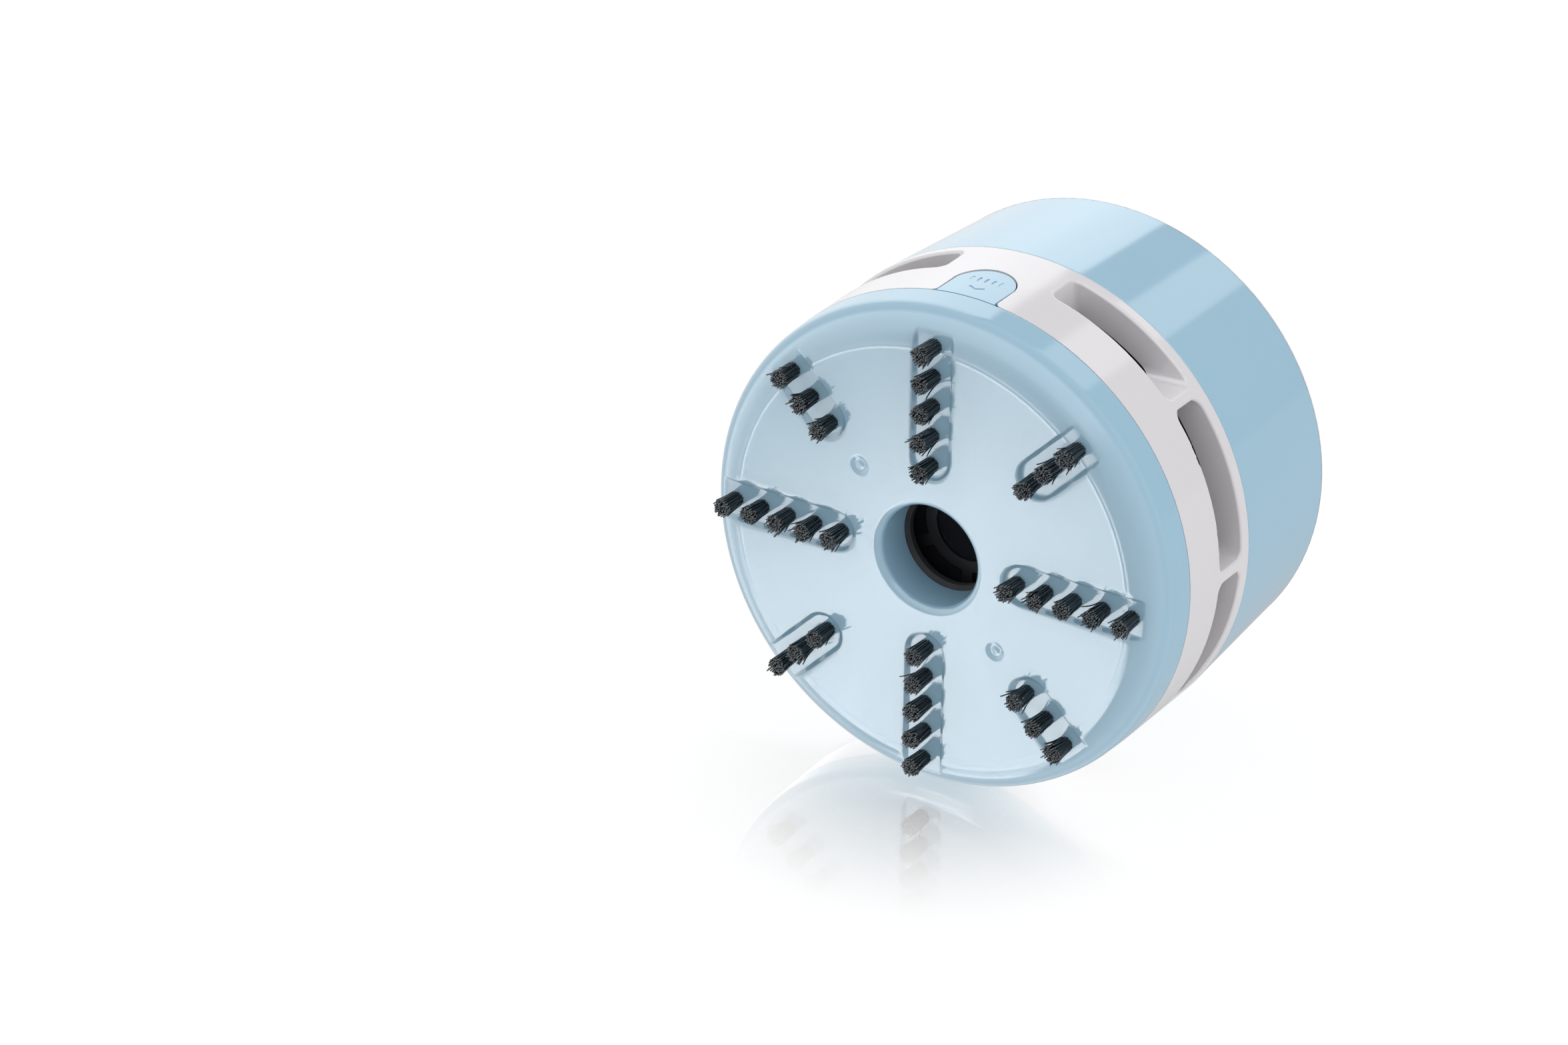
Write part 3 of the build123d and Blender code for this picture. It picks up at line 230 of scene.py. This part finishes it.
# %% [markdown]
# ## Finishes
#
# Injection-moulded plastic is never quite even. Its gloss wanders a little where the melt cooled,
# and a very shallow waviness bends reflections. Each plastic here therefore has a slowly varying
# roughness, a colour that drifts by two or three percent, and a bump of a few thousandths of a
# millimetre. The relief stays far below what the eye reads as texture.


# %% Plastics
def shade(colour, factor):
    """The same colour, lighter or darker by a factor."""
    return (*[channel * factor for channel in colour[:3]], 1.0)


def plastic(name, colour, roughness, waviness, grain):
    """Moulded plastic: a drifting colour, an uneven gloss, waves and a fine grain, in metres."""
    finish = Finish(name, colour, roughness, {"IOR": 1.5})
    cloud = finish.noise(scale=35.0, detail=2.0)
    finish.feed("Base Color", finish.blend(cloud, shade(colour, 0.975), shade(colour, 1.025)))
    gloss = finish.noise(scale=420.0, detail=4.0)
    finish.feed("Roughness", gloss * (0.35 * roughness) + 0.82 * roughness)
    waves = finish.noise(scale=160.0, detail=1.0)
    pores = finish.noise(scale=9000.0, detail=2.0)
    finish.bump(waves * waviness + pores * grain, 1.0)


plastic("blue_plastic", linear(165, 202, 223), roughness=0.085, waviness=4e-6, grain=1e-7)
plastic("white_plastic", linear(229, 227, 230), roughness=0.12, waviness=4e-6, grain=2e-7)
plastic("black_plastic", linear(30, 31, 34), roughness=0.46, waviness=4e-6, grain=3e-6)
plastic("black_rubber", linear(11, 12, 16), roughness=0.75, waviness=6e-6, grain=4e-6)
print("plastics", *finishes)

# %% [markdown]
# The nylon of the bristles is drawn through a die, so it is smooth along its length. Each strand
# carries its own number in the attribute `strand`, which makes some a little greyer than others.

# %% Nylon
def nylon():
    """Near-black drawn nylon: each strand has its own grey and gloss."""
    finish = Finish("black_nylon", linear(26, 30, 33), 0.32, {"IOR": 1.53})
    strand = finish.node("ShaderNodeAttribute", {"attribute_name": "strand"}, {}, "Fac")
    finish.feed("Base Color", finish.blend(strand, linear(8, 12, 16), linear(44, 57, 65)))
    finish.feed("Roughness", strand * 0.16 + 0.24)


nylon()

# %% [markdown]
# ## Other finishes
#
# Inside are felt, ferrite, steel, copper and nickel. They only show when the cover or the battery
# door is off, but they follow the same idea: a base tone, a streak or fibre, and a little relief.


# %% Metals, felt and sleeves
def metal(name, colour, roughness, streaks):
    """Drawn or plated metal: fine streaks along one direction and a cloudy gloss."""
    finish = Finish(name, colour, roughness, {"Metallic": 1.0})
    lines = finish.noise(scale=1.0, place=finish.stretched(*streaks))
    finish.feed("Base Color", finish.blend(lines, shade(colour, 0.82), shade(colour, 1.08)))
    finish.feed("Roughness", lines * (0.5 * roughness) + 0.75 * roughness)
    finish.bump(lines, 4e-6)


def felt(name, colour):
    """Needled felt: fibres running every way over soft lumps."""
    finish = Finish(name, colour, 0.95, {"Specular IOR Level": 0.2})
    fibres = finish.noise(scale=2600.0, detail=6.0, place=finish.stretched(1.0, 3.0, 1.0))
    lumps = finish.noise(scale=500.0)
    finish.feed("Base Color", finish.blend(fibres, shade(colour, 0.5), shade(colour, 1.9)))
    finish.bump(fibres * 0.6 + lumps * 0.4, 3e-4)


metal("bright_steel", linear(200, 200, 202), roughness=0.3, streaks=(300.0, 300.0, 9000.0))
metal("screw_steel", linear(176, 177, 180), roughness=0.36, streaks=(4000.0, 4000.0, 4000.0))
metal("nickel_plate", linear(206, 203, 196), roughness=0.25, streaks=(700.0, 5000.0, 700.0))
metal("copper_winding", linear(176, 98, 52), roughness=0.4, streaks=(900.0, 900.0, 9000.0))
plastic("dark_ferrite", linear(58, 58, 62), roughness=0.7, waviness=2e-6, grain=8e-6)
plastic("cell_wrap", linear(52, 94, 66), roughness=0.24, waviness=3e-6, grain=4e-7)
plastic("black_wire", linear(28, 28, 29), roughness=0.45, waviness=4e-6, grain=2e-6)
plastic("red_wire", linear(176, 38, 30), roughness=0.45, waviness=4e-6, grain=2e-6)
felt("filter_felt", linear(24, 25, 31))

# %% Give each frame node its finish
node_slots = {piece["node"]: piece["material_slot"] for piece in frame["record"]["subparts"]}
for name, node in nodes.items():
    for material_slot in node.material_slots:
        material_slot.material = finishes[node_slots[name]]
print("finishes", sorted(set(node_slots.values())))

# %% [markdown]
# ## Surfaces on a grid
#
# Nearly every new piece is a function of two parameters: one runs along a profile, the other
# round the axis or along a stroke. `grid_faces` joins the points to quads and `build` makes the
# object. A closed piece whose volume comes out negative is inside out, so its faces are turned.


# %% Grid helpers
def grid_faces(rows, columns, close_rows, close_columns):
    """Quads between neighbours on a grid of rows by columns points, wrapping where asked."""
    row = np.arange(rows if close_rows else rows - 1)[:, None]
    column = np.arange(columns if close_columns else columns - 1)[None, :]
    below = (row + 1) % rows
    right = (column + 1) % columns
    corners = (
        row * columns + column, row * columns + right,
        below * columns + right, below * columns + column,
    )
    return np.stack(np.broadcast_arrays(*corners), axis=-1).reshape(-1, 4)


def volume(points, faces):
    """Signed volume inside quads: the sum of the prisms between each one and the origin."""
    a, b, c, d = (points[faces[:, corner]] for corner in range(4))
    prisms = np.einsum("ij,ij->i", a, np.cross(b, c)) + np.einsum("ij,ij->i", a, np.cross(c, d))
    return prisms.sum() / 6


def build(name, points, faces, body, slot, attribute=None):
    """Makes a smooth object from points and quads that rides on a body."""
    points = np.ascontiguousarray(points, dtype=np.float64).reshape(-1, 3)
    if volume(points, faces) < 0:
        faces = faces[:, ::-1]
    mesh = bpy.data.meshes.new(name)
    mesh.vertices.add(len(points))
    mesh.vertices.foreach_set("co", points.ravel())
    mesh.loops.add(faces.size)
    mesh.loops.foreach_set("vertex_index", np.ascontiguousarray(faces).ravel())
    mesh.polygons.add(len(faces))
    mesh.polygons.foreach_set("loop_start", np.arange(0, faces.size, 4))
    mesh.update(calc_edges=True)
    mesh.polygons.foreach_set("use_smooth", np.ones(len(faces), dtype=bool))
    if attribute is not None:
        layer = mesh.attributes.new(attribute[0], "FLOAT", "POINT")
        layer.data.foreach_set("value", np.ascontiguousarray(attribute[1]).ravel())
    mesh.materials.append(finishes[slot])
    piece = bpy.data.objects.new(name, mesh)
    bpy.context.scene.collection.objects.link(piece)
    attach(piece, body)
    return piece


# %% [markdown]
# A moulded edge is never sharp. `rounded` turns the corners of a profile into arcs: the arc's
# centre lies on the corner's bisector, and its points swing evenly from one side to the other. A
# guard point beside each arc keeps the smooth shading of the flats flat.


# %% Rounded profiles
guard_gap = 0.06 * MM
large_rounding = MM


def unit(vector):
    """The vector at length one."""
    return vector / np.linalg.norm(vector)


def rounded(corners, steps):
    """A closed profile: each corner (radius, height, rounding) becomes an arc with guard points.

    A large rounding gets four times as many steps as a small one.
    """
    corners = np.array(corners)
    points = []
    for before, here, after in zip(np.roll(corners, 1, 0), corners, np.roll(corners, -1, 0)):
        back = unit(before[:2] - here[:2])
        ahead = unit(after[:2] - here[:2])
        half = 0.5 * math.acos(np.clip(back @ ahead, -1.0, 1.0))
        start = here[:2] + back * here[2] / math.tan(half)
        stop = here[:2] + ahead * here[2] / math.tan(half)
        centre = here[:2] + unit(back + ahead) * here[2] / math.sin(half)
        turn = math.pi - 2 * half
        count = steps if here[2] < large_rounding else 4 * steps
        share = np.linspace(0.0, 1.0, count + 1)[:, None]
        leaving = np.sin((1 - share) * turn) * (start - centre)
        arriving = np.sin(share * turn) * (stop - centre)
        arc = centre + (leaving + arriving) / math.sin(turn)
        points += [start + back * guard_gap, *arc, stop + ahead * guard_gap]
    return np.array(points)


def smoothstep(value, low, high):
    """0 at low, 1 at high, with level ends."""
    share = np.clip((value - low) / (high - low), 0.0, 1.0)
    return share * share * (3.0 - 2.0 * share)


# %% [markdown]
# ## Base cover
#
# The cover is one moulding: the face with the suction mouth, the large rounding, the wall, and the
# rim that plugs into the band. Its profile runs once round the section. Turned about the axis it
# would give a plain dish, so the grooves and dimples are added as a change in height.
#
# A groove's floor is everything nearer than 3 mm to its centre line, and its walls are 0.75 mm
# wide. Inside it the surface is lifted to the root height, but only as far as it lies below that
# height, which lets the groove run out by itself on the rounding. The columns of the grid follow
# the groove's sides instead of plain angles, so each soft wall gets its own columns and stays
# straight.
#
# Where the flat face turns into the rounding, a bead two hundredths of a millimetre high stands
# for the faint line that the mould leaves there.

# %% Profile of the cover
cover_profile = rounded([
    (mouth_radius, tube_height, 0.25 * MM),
    (mouth_radius, face_height, 1.3 * MM),
    (foot_radius, face_height, 5.4 * MM),
    (seam_radius, seam_height, 0.3 * MM),
    (rim_outer, seam_height, 0.1 * MM),
    (rim_outer, rim_height, 0.3 * MM),
    (rim_inner, rim_height, 0.3 * MM),
    (rim_inner, dust_floor_height, 4.0 * MM),
    (tube_radius, dust_floor_height, 0.4 * MM),
    (tube_radius, tube_height, 0.25 * MM),
], steps=5)
print("cover profile", len(cover_profile), "points")

# %% More rings on the face
# They are closest at the grooves' inner ends, at the dimples and at the crease.
face_radii = np.concatenate([
    np.linspace(10.4, 13.0, 4), np.arange(13.3, 20.7, 0.25), np.linspace(21.0, 23.0, 4),
    np.arange(23.3, 27.9, 0.25), np.linspace(28.3, 35.0, 7), np.arange(35.3, 36.5, 0.12),
]) * MM
face_points = np.column_stack([face_radii, np.full(len(face_radii), face_height)])
profile_radii, profile_heights = cover_profile.T
mouth_side = (profile_heights < face_height + 1e-4 * MM) & (profile_radii < 12 * MM)
cover_profile = np.insert(cover_profile, np.nonzero(mouth_side)[0][-1] + 1, face_points, axis=0)
print("with the face's rings", len(cover_profile), "points")


# %% Columns that follow the grooves
def groove_columns(radii):
    """Angles of the grid's columns at each radius, over all eight sectors.

    Near a groove a column keeps its distance u from the centre line, so its angle is the arc sine
    of u over the radius. Beyond the walls the columns fan out to the sector's edge, a little
    wider apart towards it. Inside the grooves' inner ends the angles stay as they are.
    """
    floor_offsets = np.linspace(0.0, 2.7, 14)
    wall_offsets = np.linspace(2.8, 3.8, 9)
    offsets = np.concatenate([floor_offsets, wall_offsets]) * MM
    innermost = 13.5 * MM
    sector_half = math.pi / 8
    inner = np.arcsin(offsets / np.maximum(radii, innermost)[:, None])
    fan_columns = 8
    share = (np.arange(1, fan_columns + 1) / fan_columns) ** 1.15
    fan = inner[:, -1:] + share * (sector_half - inner[:, -1:])
    half = np.hstack([inner, fan])
    sector = np.hstack([-half[:, ::-1], half[:, 1:-1]])
    return (row_angles[:, None] + sector[:, None, :]).reshape(len(radii), -1)


def groove_distance(x, y):
    """Distance to the nearest groove's centre line, which starts just outside its last tuft."""
    distance = np.full(x.shape, 1.0)
    for angle, count in zip(row_angles, row_lengths):
        groove_start = tuft_places[count - 1] + groove_end_gap
        along = x * math.cos(angle) + y * math.sin(angle) - groove_start
        across = -x * math.sin(angle) + y * math.cos(angle)
        distance = np.minimum(distance, np.hypot(np.minimum(along, 0.0), across))
    return distance


# %% Build the cover
def cover_points():
    """The cover's grid: the turned profile, lifted in the grooves and in the two dimples.

    The lift in a groove is the depth that the surface lies below the root height, with its kink at
    that height rounded off. The crease is a bell curve over the radius.
    """
    radius = cover_profile[:, :1]
    angle = groove_columns(cover_profile[:, 0])
    x = radius * np.cos(angle)
    y = radius * np.sin(angle)
    z = np.broadcast_to(cover_profile[:, 1:], angle.shape).copy()
    below = root_height - z
    softness = 0.12 * MM
    lift = 0.5 * (below + np.sqrt(below**2 + softness**2))
    underside_top = root_height + 0.4 * MM
    underside_inner = 10.2 * MM
    on_underside = (z < underside_top) & (radius > underside_inner)
    crease = np.exp(-(((radius - crease_radius) / crease_width) ** 2))
    z -= crease_height * crease * on_underside
    inside = 1.0 - smoothstep(groove_distance(x, y), groove_floor_half, groove_wall_foot)
    z += np.where(on_underside, inside * lift, 0.0)
    for dimple_angle in dimple_angles:
        from_dimple_x = x - dimple_place * math.cos(dimple_angle)
        from_dimple_y = y - dimple_place * math.sin(dimple_angle)
        away = np.hypot(from_dimple_x, from_dimple_y)
        bowl = dimple_depth * (1.0 - smoothstep(away, *dimple_wall))
        nub = nub_height * (1.0 - smoothstep(away, *nub_wall))
        z += np.where(on_underside & (z < root_height), bowl - nub, 0.0)
    return np.stack([x, y, z], axis=-1)


cover_grid = cover_points()
cover_faces = grid_faces(*cover_grid.shape[:2], True, True)
cover = build("cover_shell", cover_grid, cover_faces, "cover", "blue_plastic")
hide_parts("base_cover")
print("cover", len(cover.data.polygons), "quads")

# %% [markdown]
# ## Brush rows
#
# A tuft is a bundle of straight-cut nylon bristles, a hundred here, stapled into its hole. The
# bundle is tight at the root and opens towards the tips, where the ends are uneven and a few
# strays stick out. Each bristle is a square rod of five lengths. Its centre line starts at a point
# of a sunflower spiral, which packs a disc evenly: the n-th point lies at a radius that grows with
# the square root of n, turned by the golden angle each time.


# %% Bristles
strand_count = 100
strand_stations = 6
strand_radii = (0.1 * MM, 0.125 * MM)
tuft_reach = 1.3 * MM
tuft_lean = 0.055 * MM
tip_jitter = 0.05 * MM
tip_unevenness = 0.17 * MM
tip_clearance = 0.03 * MM
root_inset = 0.1 * MM
stray_share = 0.09
stray_reach = (0.25 * MM, 0.85 * MM)


def tuft_strands(random, centre, count):
    """Centre lines of a tuft's strands, as (count, stations, 3).

    Each tip is its root moved outwards by about a fifth, jittered and leaned with its tuft, and
    a stray's tip goes further. From root to tip a strand bends outwards along a parabola.
    """
    order = np.arange(count)
    reach = tuft_reach * np.sqrt((order + 0.5) / count)
    golden_turn = order * math.pi * (3.0 - math.sqrt(5.0))
    root = np.stack([reach * np.cos(golden_turn), reach * np.sin(golden_turn)], axis=-1)
    lean = random.normal(0.0, tuft_lean, 2)
    spread = random.normal(1.22, 0.07, (count, 1))
    jitter = random.normal(0.0, tip_jitter, (count, 2))
    tip = root * spread + jitter + lean
    stray = random.random(count) < stray_share
    away = tip / np.maximum(np.linalg.norm(tip, axis=1, keepdims=True), 0.1 * MM)
    tip += away * (stray * random.uniform(*stray_reach, count))[:, None]
    tip_height = np.abs(random.normal(0.0, tip_unevenness, count)) + tip_clearance
    share = np.linspace(0.0, 1.0, strand_stations)[None, :, None]
    opening = 0.3 * share + 0.7 * share**2
    plane = centre + root[:, None, :] + (tip - root)[:, None, :] * opening
    start_height = root_height + root_inset
    height = start_height + (tip_height[:, None, None] - start_height) * share
    return np.concatenate([plane, np.broadcast_to(height, (count, strand_stations, 1))], axis=-1)


def rods(lines, radius):
    """Square rods round centre lines: every station gets four corners in a level plane."""
    corner = np.arange(4) * (math.pi / 2) + math.pi / 4
    square = np.stack([np.cos(corner), np.sin(corner), np.zeros(4)], axis=-1)
    return lines[:, :, None, :] + radius[:, None, None, None] * square


def rod_faces(count, stations):
    """Quads of many rods: their sides, and a cap at each end."""
    sides = grid_faces(stations, 4, False, True)
    caps = np.array([[3, 2, 1, 0], [0, 1, 2, 3]]) + np.array([[0], [4 * (stations - 1)]])
    one = np.vstack([sides, caps])
    return (one + (np.arange(count) * 4 * stations)[:, None, None]).reshape(-1, 4)


# %% Build the rows
for row, (angle, count) in enumerate(zip(row_angles, row_lengths), 1):
    random = np.random.default_rng(row)
    outward = np.array([math.cos(angle), math.sin(angle)])
    lines = np.concatenate([
        tuft_strands(random, place * outward, strand_count) for place in tuft_places[:count]
    ])
    radius = random.uniform(*strand_radii, len(lines))
    grey = np.repeat(random.random(len(lines)), 4 * strand_stations)
    faces = rod_faces(len(lines), strand_stations)
    strand = ("strand", grey)
    brush = build(f"bristles_{row}", rods(lines, radius), faces, "cover", "black_nylon", strand)
    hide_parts(f"brush_row_{row}")
    print(brush.name, len(lines), "strands", len(brush.data.polygons), "quads")

# %% [markdown]
# ## Painted shade in the joint
#
# Where the white cap meets the blue shell, a hair-wide gap stays between their edges, and the shade
# in it reads as a fine dark line all the way round. The solids meet without it. A real gap would
# mean cutting both of them, so here a slim dark bead lies in the joint as painted shade, a hundredth
# of a millimetre proud of the surface. Its section is a narrow ellipse, turned once about the axis.


# %% Painted shade in the joint
def gap_shade_ring(name, radius, height, width, proud):
    """A ring with an elliptical section: radius and height both follow one angle round it."""
    sides, turns = 12, 360
    section = np.radians(np.arange(sides) * 360.0 / sides)
    around = np.radians(np.arange(turns) * 360.0 / turns)[:, None]
    radii = radius + proud + width * (np.cos(section) - 1.0)
    heights = np.broadcast_to(height + 0.5 * width * np.sin(section), (turns, sides))
    points = np.stack([radii * np.cos(around), radii * np.sin(around), heights], axis=-1)
    ring = build(name, points, grid_faces(turns, sides, True, True), "housing", "black_plastic")
    print(ring.name, "at", round(height / MM, 2), "mm")


# Painted shade: a dark plastic ring stands for the shadow in the gap between cap and shell.
gap_shade_ring("crown_gap_shade", cap_radius, crown_height, width=0.16 * MM, proud=0.01 * MM)

# %% [markdown]
# ## Tables
#
# The photograph shows the vacuum lying on its side on a white table, tab upwards, so in the frame's
# own axes that table is the plane under its rear side. It is polished: close to the vacuum it
# mirrors it, and the mirror image fades within a hand's width. For views from above, a second
# table lies under the brushes. It is frosted, so the cover still shows through it when it is drawn
# off downwards. Each table shows only from its own side, and only to the camera, so neither hides
# the vacuum nor keeps light from it. Part of its white is its own colour given off evenly, and the
# diffuse share is left to take the vacuum's soft shadow.


# %% A table
def mixed(made, amount, first, second):
    """A blend of two shaders, by an amount from 0 to 1."""
    blend = made.node("ShaderNodeMixShader", {}, {0: amount})
    made.tree.links.new(first, blend.socket.node.inputs[1])
    made.tree.links.new(second, blend.socket.node.inputs[2])
    return blend.socket


def table(name, corners, diffuse, solid, mirror):
    """A white table: how much of its white is diffuse, how solid it is, and its mirror image."""
    material = bpy.data.materials.new(name)
    material.use_nodes = True
    tree = material.node_tree
    made = Nodes(tree)
    surface = tree.nodes["Principled BSDF"]
    surface.inputs["Base Color"].default_value = (diffuse, diffuse, diffuse, 1.0)
    surface.inputs["Specular IOR Level"].default_value = 0.0
    surface.inputs["Emission Color"].default_value = (1.0, 1.0, 1.0, 1.0)
    given_off = 1.02 - 0.9 * diffuse
    surface.inputs["Emission Strength"].default_value = given_off
    image = made.node("ShaderNodeBsdfAnisotropic", {}, {"Roughness": 0.0})
    polished = mixed(made, mirror(made), surface.outputs[0], image.socket)
    behind = made.node("ShaderNodeNewGeometry", {}, {}, "Backfacing")
    seen = made.node("ShaderNodeLightPath", {}, {}, "Is Camera Ray")
    clear = made.node("ShaderNodeBsdfTransparent", {}, {})
    shown = mixed(made, solid * seen * (1.0 - behind), clear.socket, polished)
    tree.links.new(shown, tree.nodes["Material Output"].inputs[0])
    mesh = bpy.data.meshes.new(name)
    mesh.from_pydata(corners, [], [(0, 1, 2, 3)])
    mesh.materials.append(material)
    plane = bpy.data.objects.new(name, mesh)
    bpy.context.scene.collection.objects.link(plane)


# %% Its mirror image
image_strength = 0.58
image_reach = 0.048
image_start = 0.008
image_end = 0.055


def fading_image(made):
    """Mirror share on the table: full along the line on which the vacuum lies, then less.

    It falls off softly to nothing with the distance from that line, which has a start near the
    brushes and an end near the cap. Past the end a distance counts fourfold, and a distance to
    the side counts up to 2.8 times as much beside the vacuum as in front of it.
    """
    place = made.node("ShaderNodeTexCoord", {}, {}, "Object")
    along = made.node("ShaderNodeSeparateXYZ", {}, {"Vector": place}, "Z")
    narrowing = 1.0 + 1.8 * along.step(0.0, 0.02)
    across = made.node("ShaderNodeSeparateXYZ", {}, {"Vector": place}, "X") * narrowing
    ahead = (image_start - along).at_least(0.0)
    beyond = (4.0 * along - 4.0 * image_end).at_least(0.0)
    squares = across * across + ahead * ahead + beyond * beyond
    away = made.node("ShaderNodeMath", {"operation": "SQRT"}, {0: squares})
    return image_strength * (1.0 - away.step(0.0, image_reach))


def no_image(made):
    """No mirror image at all."""
    return 0.0


# %% Build the tables
reach = 3.0
table("table_below", [
    (-reach, -reach, 0.0), (reach, -reach, 0.0), (reach, reach, 0.0), (-reach, reach, 0.0),
], diffuse=0.8, solid=0.4, mirror=no_image)
table("table_behind", [
    (-reach, lying_side, -reach), (-reach, lying_side, reach),
    (reach, lying_side, reach), (reach, lying_side, -reach),
], diffuse=0.16, solid=1.0, mirror=fading_image)
print("table under the rear side at y =", lying_side)

# %% [markdown]
# ## Light
#
# A soft, even room lights the vacuum: less from below, and most from the sides. Smooth plastic
# shows something else as well, the mirror image of what stands in the studio. In the photograph
# that is a large lamp beside the camera, a pale wall round it, and two tall windows whose images
# run along the shell. They are painted on a sphere one metre away that only glossy rays see, so
# the even light on the surface and the gloss on it are set apart from each other.


# %% The room
def room():
    """White to the camera; to everything else, a room that is darkest below."""
    world = bpy.data.worlds.new("room")
    bpy.context.scene.world = world
    world.use_nodes = True
    tree = world.node_tree
    made = Nodes(tree)
    direction = made.node("ShaderNodeTexCoord", {}, {}, "Generated")
    height = made.node("ShaderNodeSeparateXYZ", {}, {"Vector": direction}, "Z")
    floor_level, sides_gain, ceiling_loss = 0.51, 0.57, 0.2
    rising = sides_gain * height.step(-0.85, -0.05)
    brightness = floor_level + rising - ceiling_loss * height.step(0.1, 0.9)
    seen = made.node("ShaderNodeLightPath", {}, {}, "Is Camera Ray")
    inputs = {"Color": (1.0, 1.0, 1.0, 1.0), "Strength": brightness * (1.0 - seen) + seen}
    light = made.node("ShaderNodeBackground", {}, inputs)
    tree.links.new(light.socket, tree.nodes["World Output"].inputs[0])


room()


# %% What the gloss mirrors
def soft_patch(azimuth, elevation, sides, edges):
    """1 inside a patch of directions and 0 outside, with edges of so many degrees.

    The patch runs from left to right and from low to high. Its edges are the widths of the soft
    margins at the left, at the right, and at the low and high side.
    """
    left, right, low, high = sides
    left_edge, right_edge, level_edge = edges
    sideways = smoothstep(azimuth, left, left + left_edge)
    sideways = sideways * smoothstep(-azimuth, -right, right_edge - right)
    upright = smoothstep(elevation, low, low + level_edge)
    upright = upright * smoothstep(-elevation, -high, level_edge - high)
    return sideways * upright


# The room all round, the pale wall, its lighter part, the glow above the lamp, and the lamp.
room_glow = 1.8
patches = [
    (2.4, (-60.0, 145.0, -84.0, 12.0), (20.0, 20.0, 20.0)),
    (3.7, (-60.0, 145.0, -66.0, 12.0), (20.0, 20.0, 20.0)),
    (5.8, (-86.0, -56.0, -40.0, -8.0), (8.0, 8.0, 6.0)),
    (9.1, (-82.0, -35.5, -57.0, -34.0), (10.0, 10.5, 5.0)),
]
# Higher up: a plain band at the horizon, then the windows, whose brightness goes by azimuth.
horizon_glow = 0.9
horizon_elevations = (-8.0, 12.0)
window_elevations = (28.0, 40.0)
window_azimuths = [
    -50.0, -14.0, -2.0, 10.0, 23.0, 35.0, 48.0, 60.0, 66.5, 68.0, 92.5, 95.0, 117.0, 119.0,
]
window_glows = [0.5, 1.1, 1.3, 1.5, 1.9, 2.2, 2.3, 2.4, 2.4, 0.3, 0.3, 1.6, 1.6, 0.3]


def mirrored_glow(azimuth, elevation):
    """Brightness of the studio by direction, in degrees: each patch is laid over what was there."""
    glow = np.full(azimuth.shape, room_glow)
    for strength, sides, edges in patches:
        glow += soft_patch(azimuth, elevation, sides, edges) * (strength - glow)
    windows = np.interp(azimuth, window_azimuths, window_glows)
    glow += smoothstep(elevation, *horizon_elevations) * (horizon_glow - glow)
    return glow + smoothstep(elevation, *window_elevations) * (windows - glow)


def mirrored_studio():
    """A sphere of directions, one metre away, with its glow kept at its points.

    Mirrors that are perfectly smooth, as the table's, see plain white instead.
    """
    azimuth, elevation = np.meshgrid(np.arange(-180.0, 180.0), np.arange(-87.0, 88.0, 3.0))
    turn, rise = np.radians(azimuth), np.radians(elevation)
    level = np.cos(rise)
    points = np.stack([level * np.cos(turn), level * np.sin(turn), np.sin(rise)], axis=-1)
    faces = grid_faces(*azimuth.shape, False, True)
    mesh = bpy.data.meshes.new("studio")
    mesh.from_pydata(points.reshape(-1, 3).tolist(), [], faces.tolist())
    layer = mesh.attributes.new("glow", "FLOAT", "POINT")
    layer.data.foreach_set("value", mirrored_glow(azimuth, elevation).ravel())
    material = bpy.data.materials.new("studio")
    material.use_nodes = True
    material.cycles.emission_sampling = "NONE"
    tree = material.node_tree
    made = Nodes(tree)
    glow = made.node("ShaderNodeAttribute", {"attribute_name": "glow"}, {}, "Color")
    painted = made.node("ShaderNodeEmission", {}, {"Color": glow})
    plain = made.node("ShaderNodeEmission", {}, {})
    smooth_mirror = made.node("ShaderNodeLightPath", {}, {}, "Is Singular Ray")
    chosen = mixed(made, smooth_mirror, painted.socket, plain.socket)
    tree.links.new(chosen, tree.nodes["Material Output"].inputs[0])
    mesh.materials.append(material)
    sphere = bpy.data.objects.new("studio", mesh)
    bpy.context.scene.collection.objects.link(sphere)
    for ray in ("camera", "diffuse", "shadow", "transmission", "volume_scatter"):
        setattr(sphere, "visible_" + ray, False)
    print("studio", len(faces), "directions")


mirrored_studio()

# %% [markdown]
# ## Camera
#
# The photograph was taken from below and beside the brushes, two thirds of a metre away, through a
# short telephoto lens. Its place and turn were fitted to the tufts, the mouth and the seams.

# %% Camera
camera_data = bpy.data.cameras.new("photo_camera")
camera_data.lens = 94.98
camera_data.sensor_width = 36.0
camera_data.clip_start = 0.01
camera_place = Vector((-0.29750, 0.30415, -0.49833))
camera_right = Vector((-0.83782, 0.00735, 0.54590))
camera_up = Vector((0.25382, 0.89052, 0.37755))
camera_ahead = Vector((0.48336, -0.45488, 0.74796))
camera_turn = Matrix((camera_right, camera_up, -camera_ahead)).transposed()
camera = bpy.data.objects.new("photo_camera", camera_data)
camera.matrix_world = Matrix.Translation(camera_place) @ camera_turn.to_4x4()
bpy.context.scene.collection.objects.link(camera)
bpy.context.scene.camera = camera
bpy.context.scene.view_settings.view_transform = "Standard"
print("camera", round(camera_place.length, 3), "m from the origin")
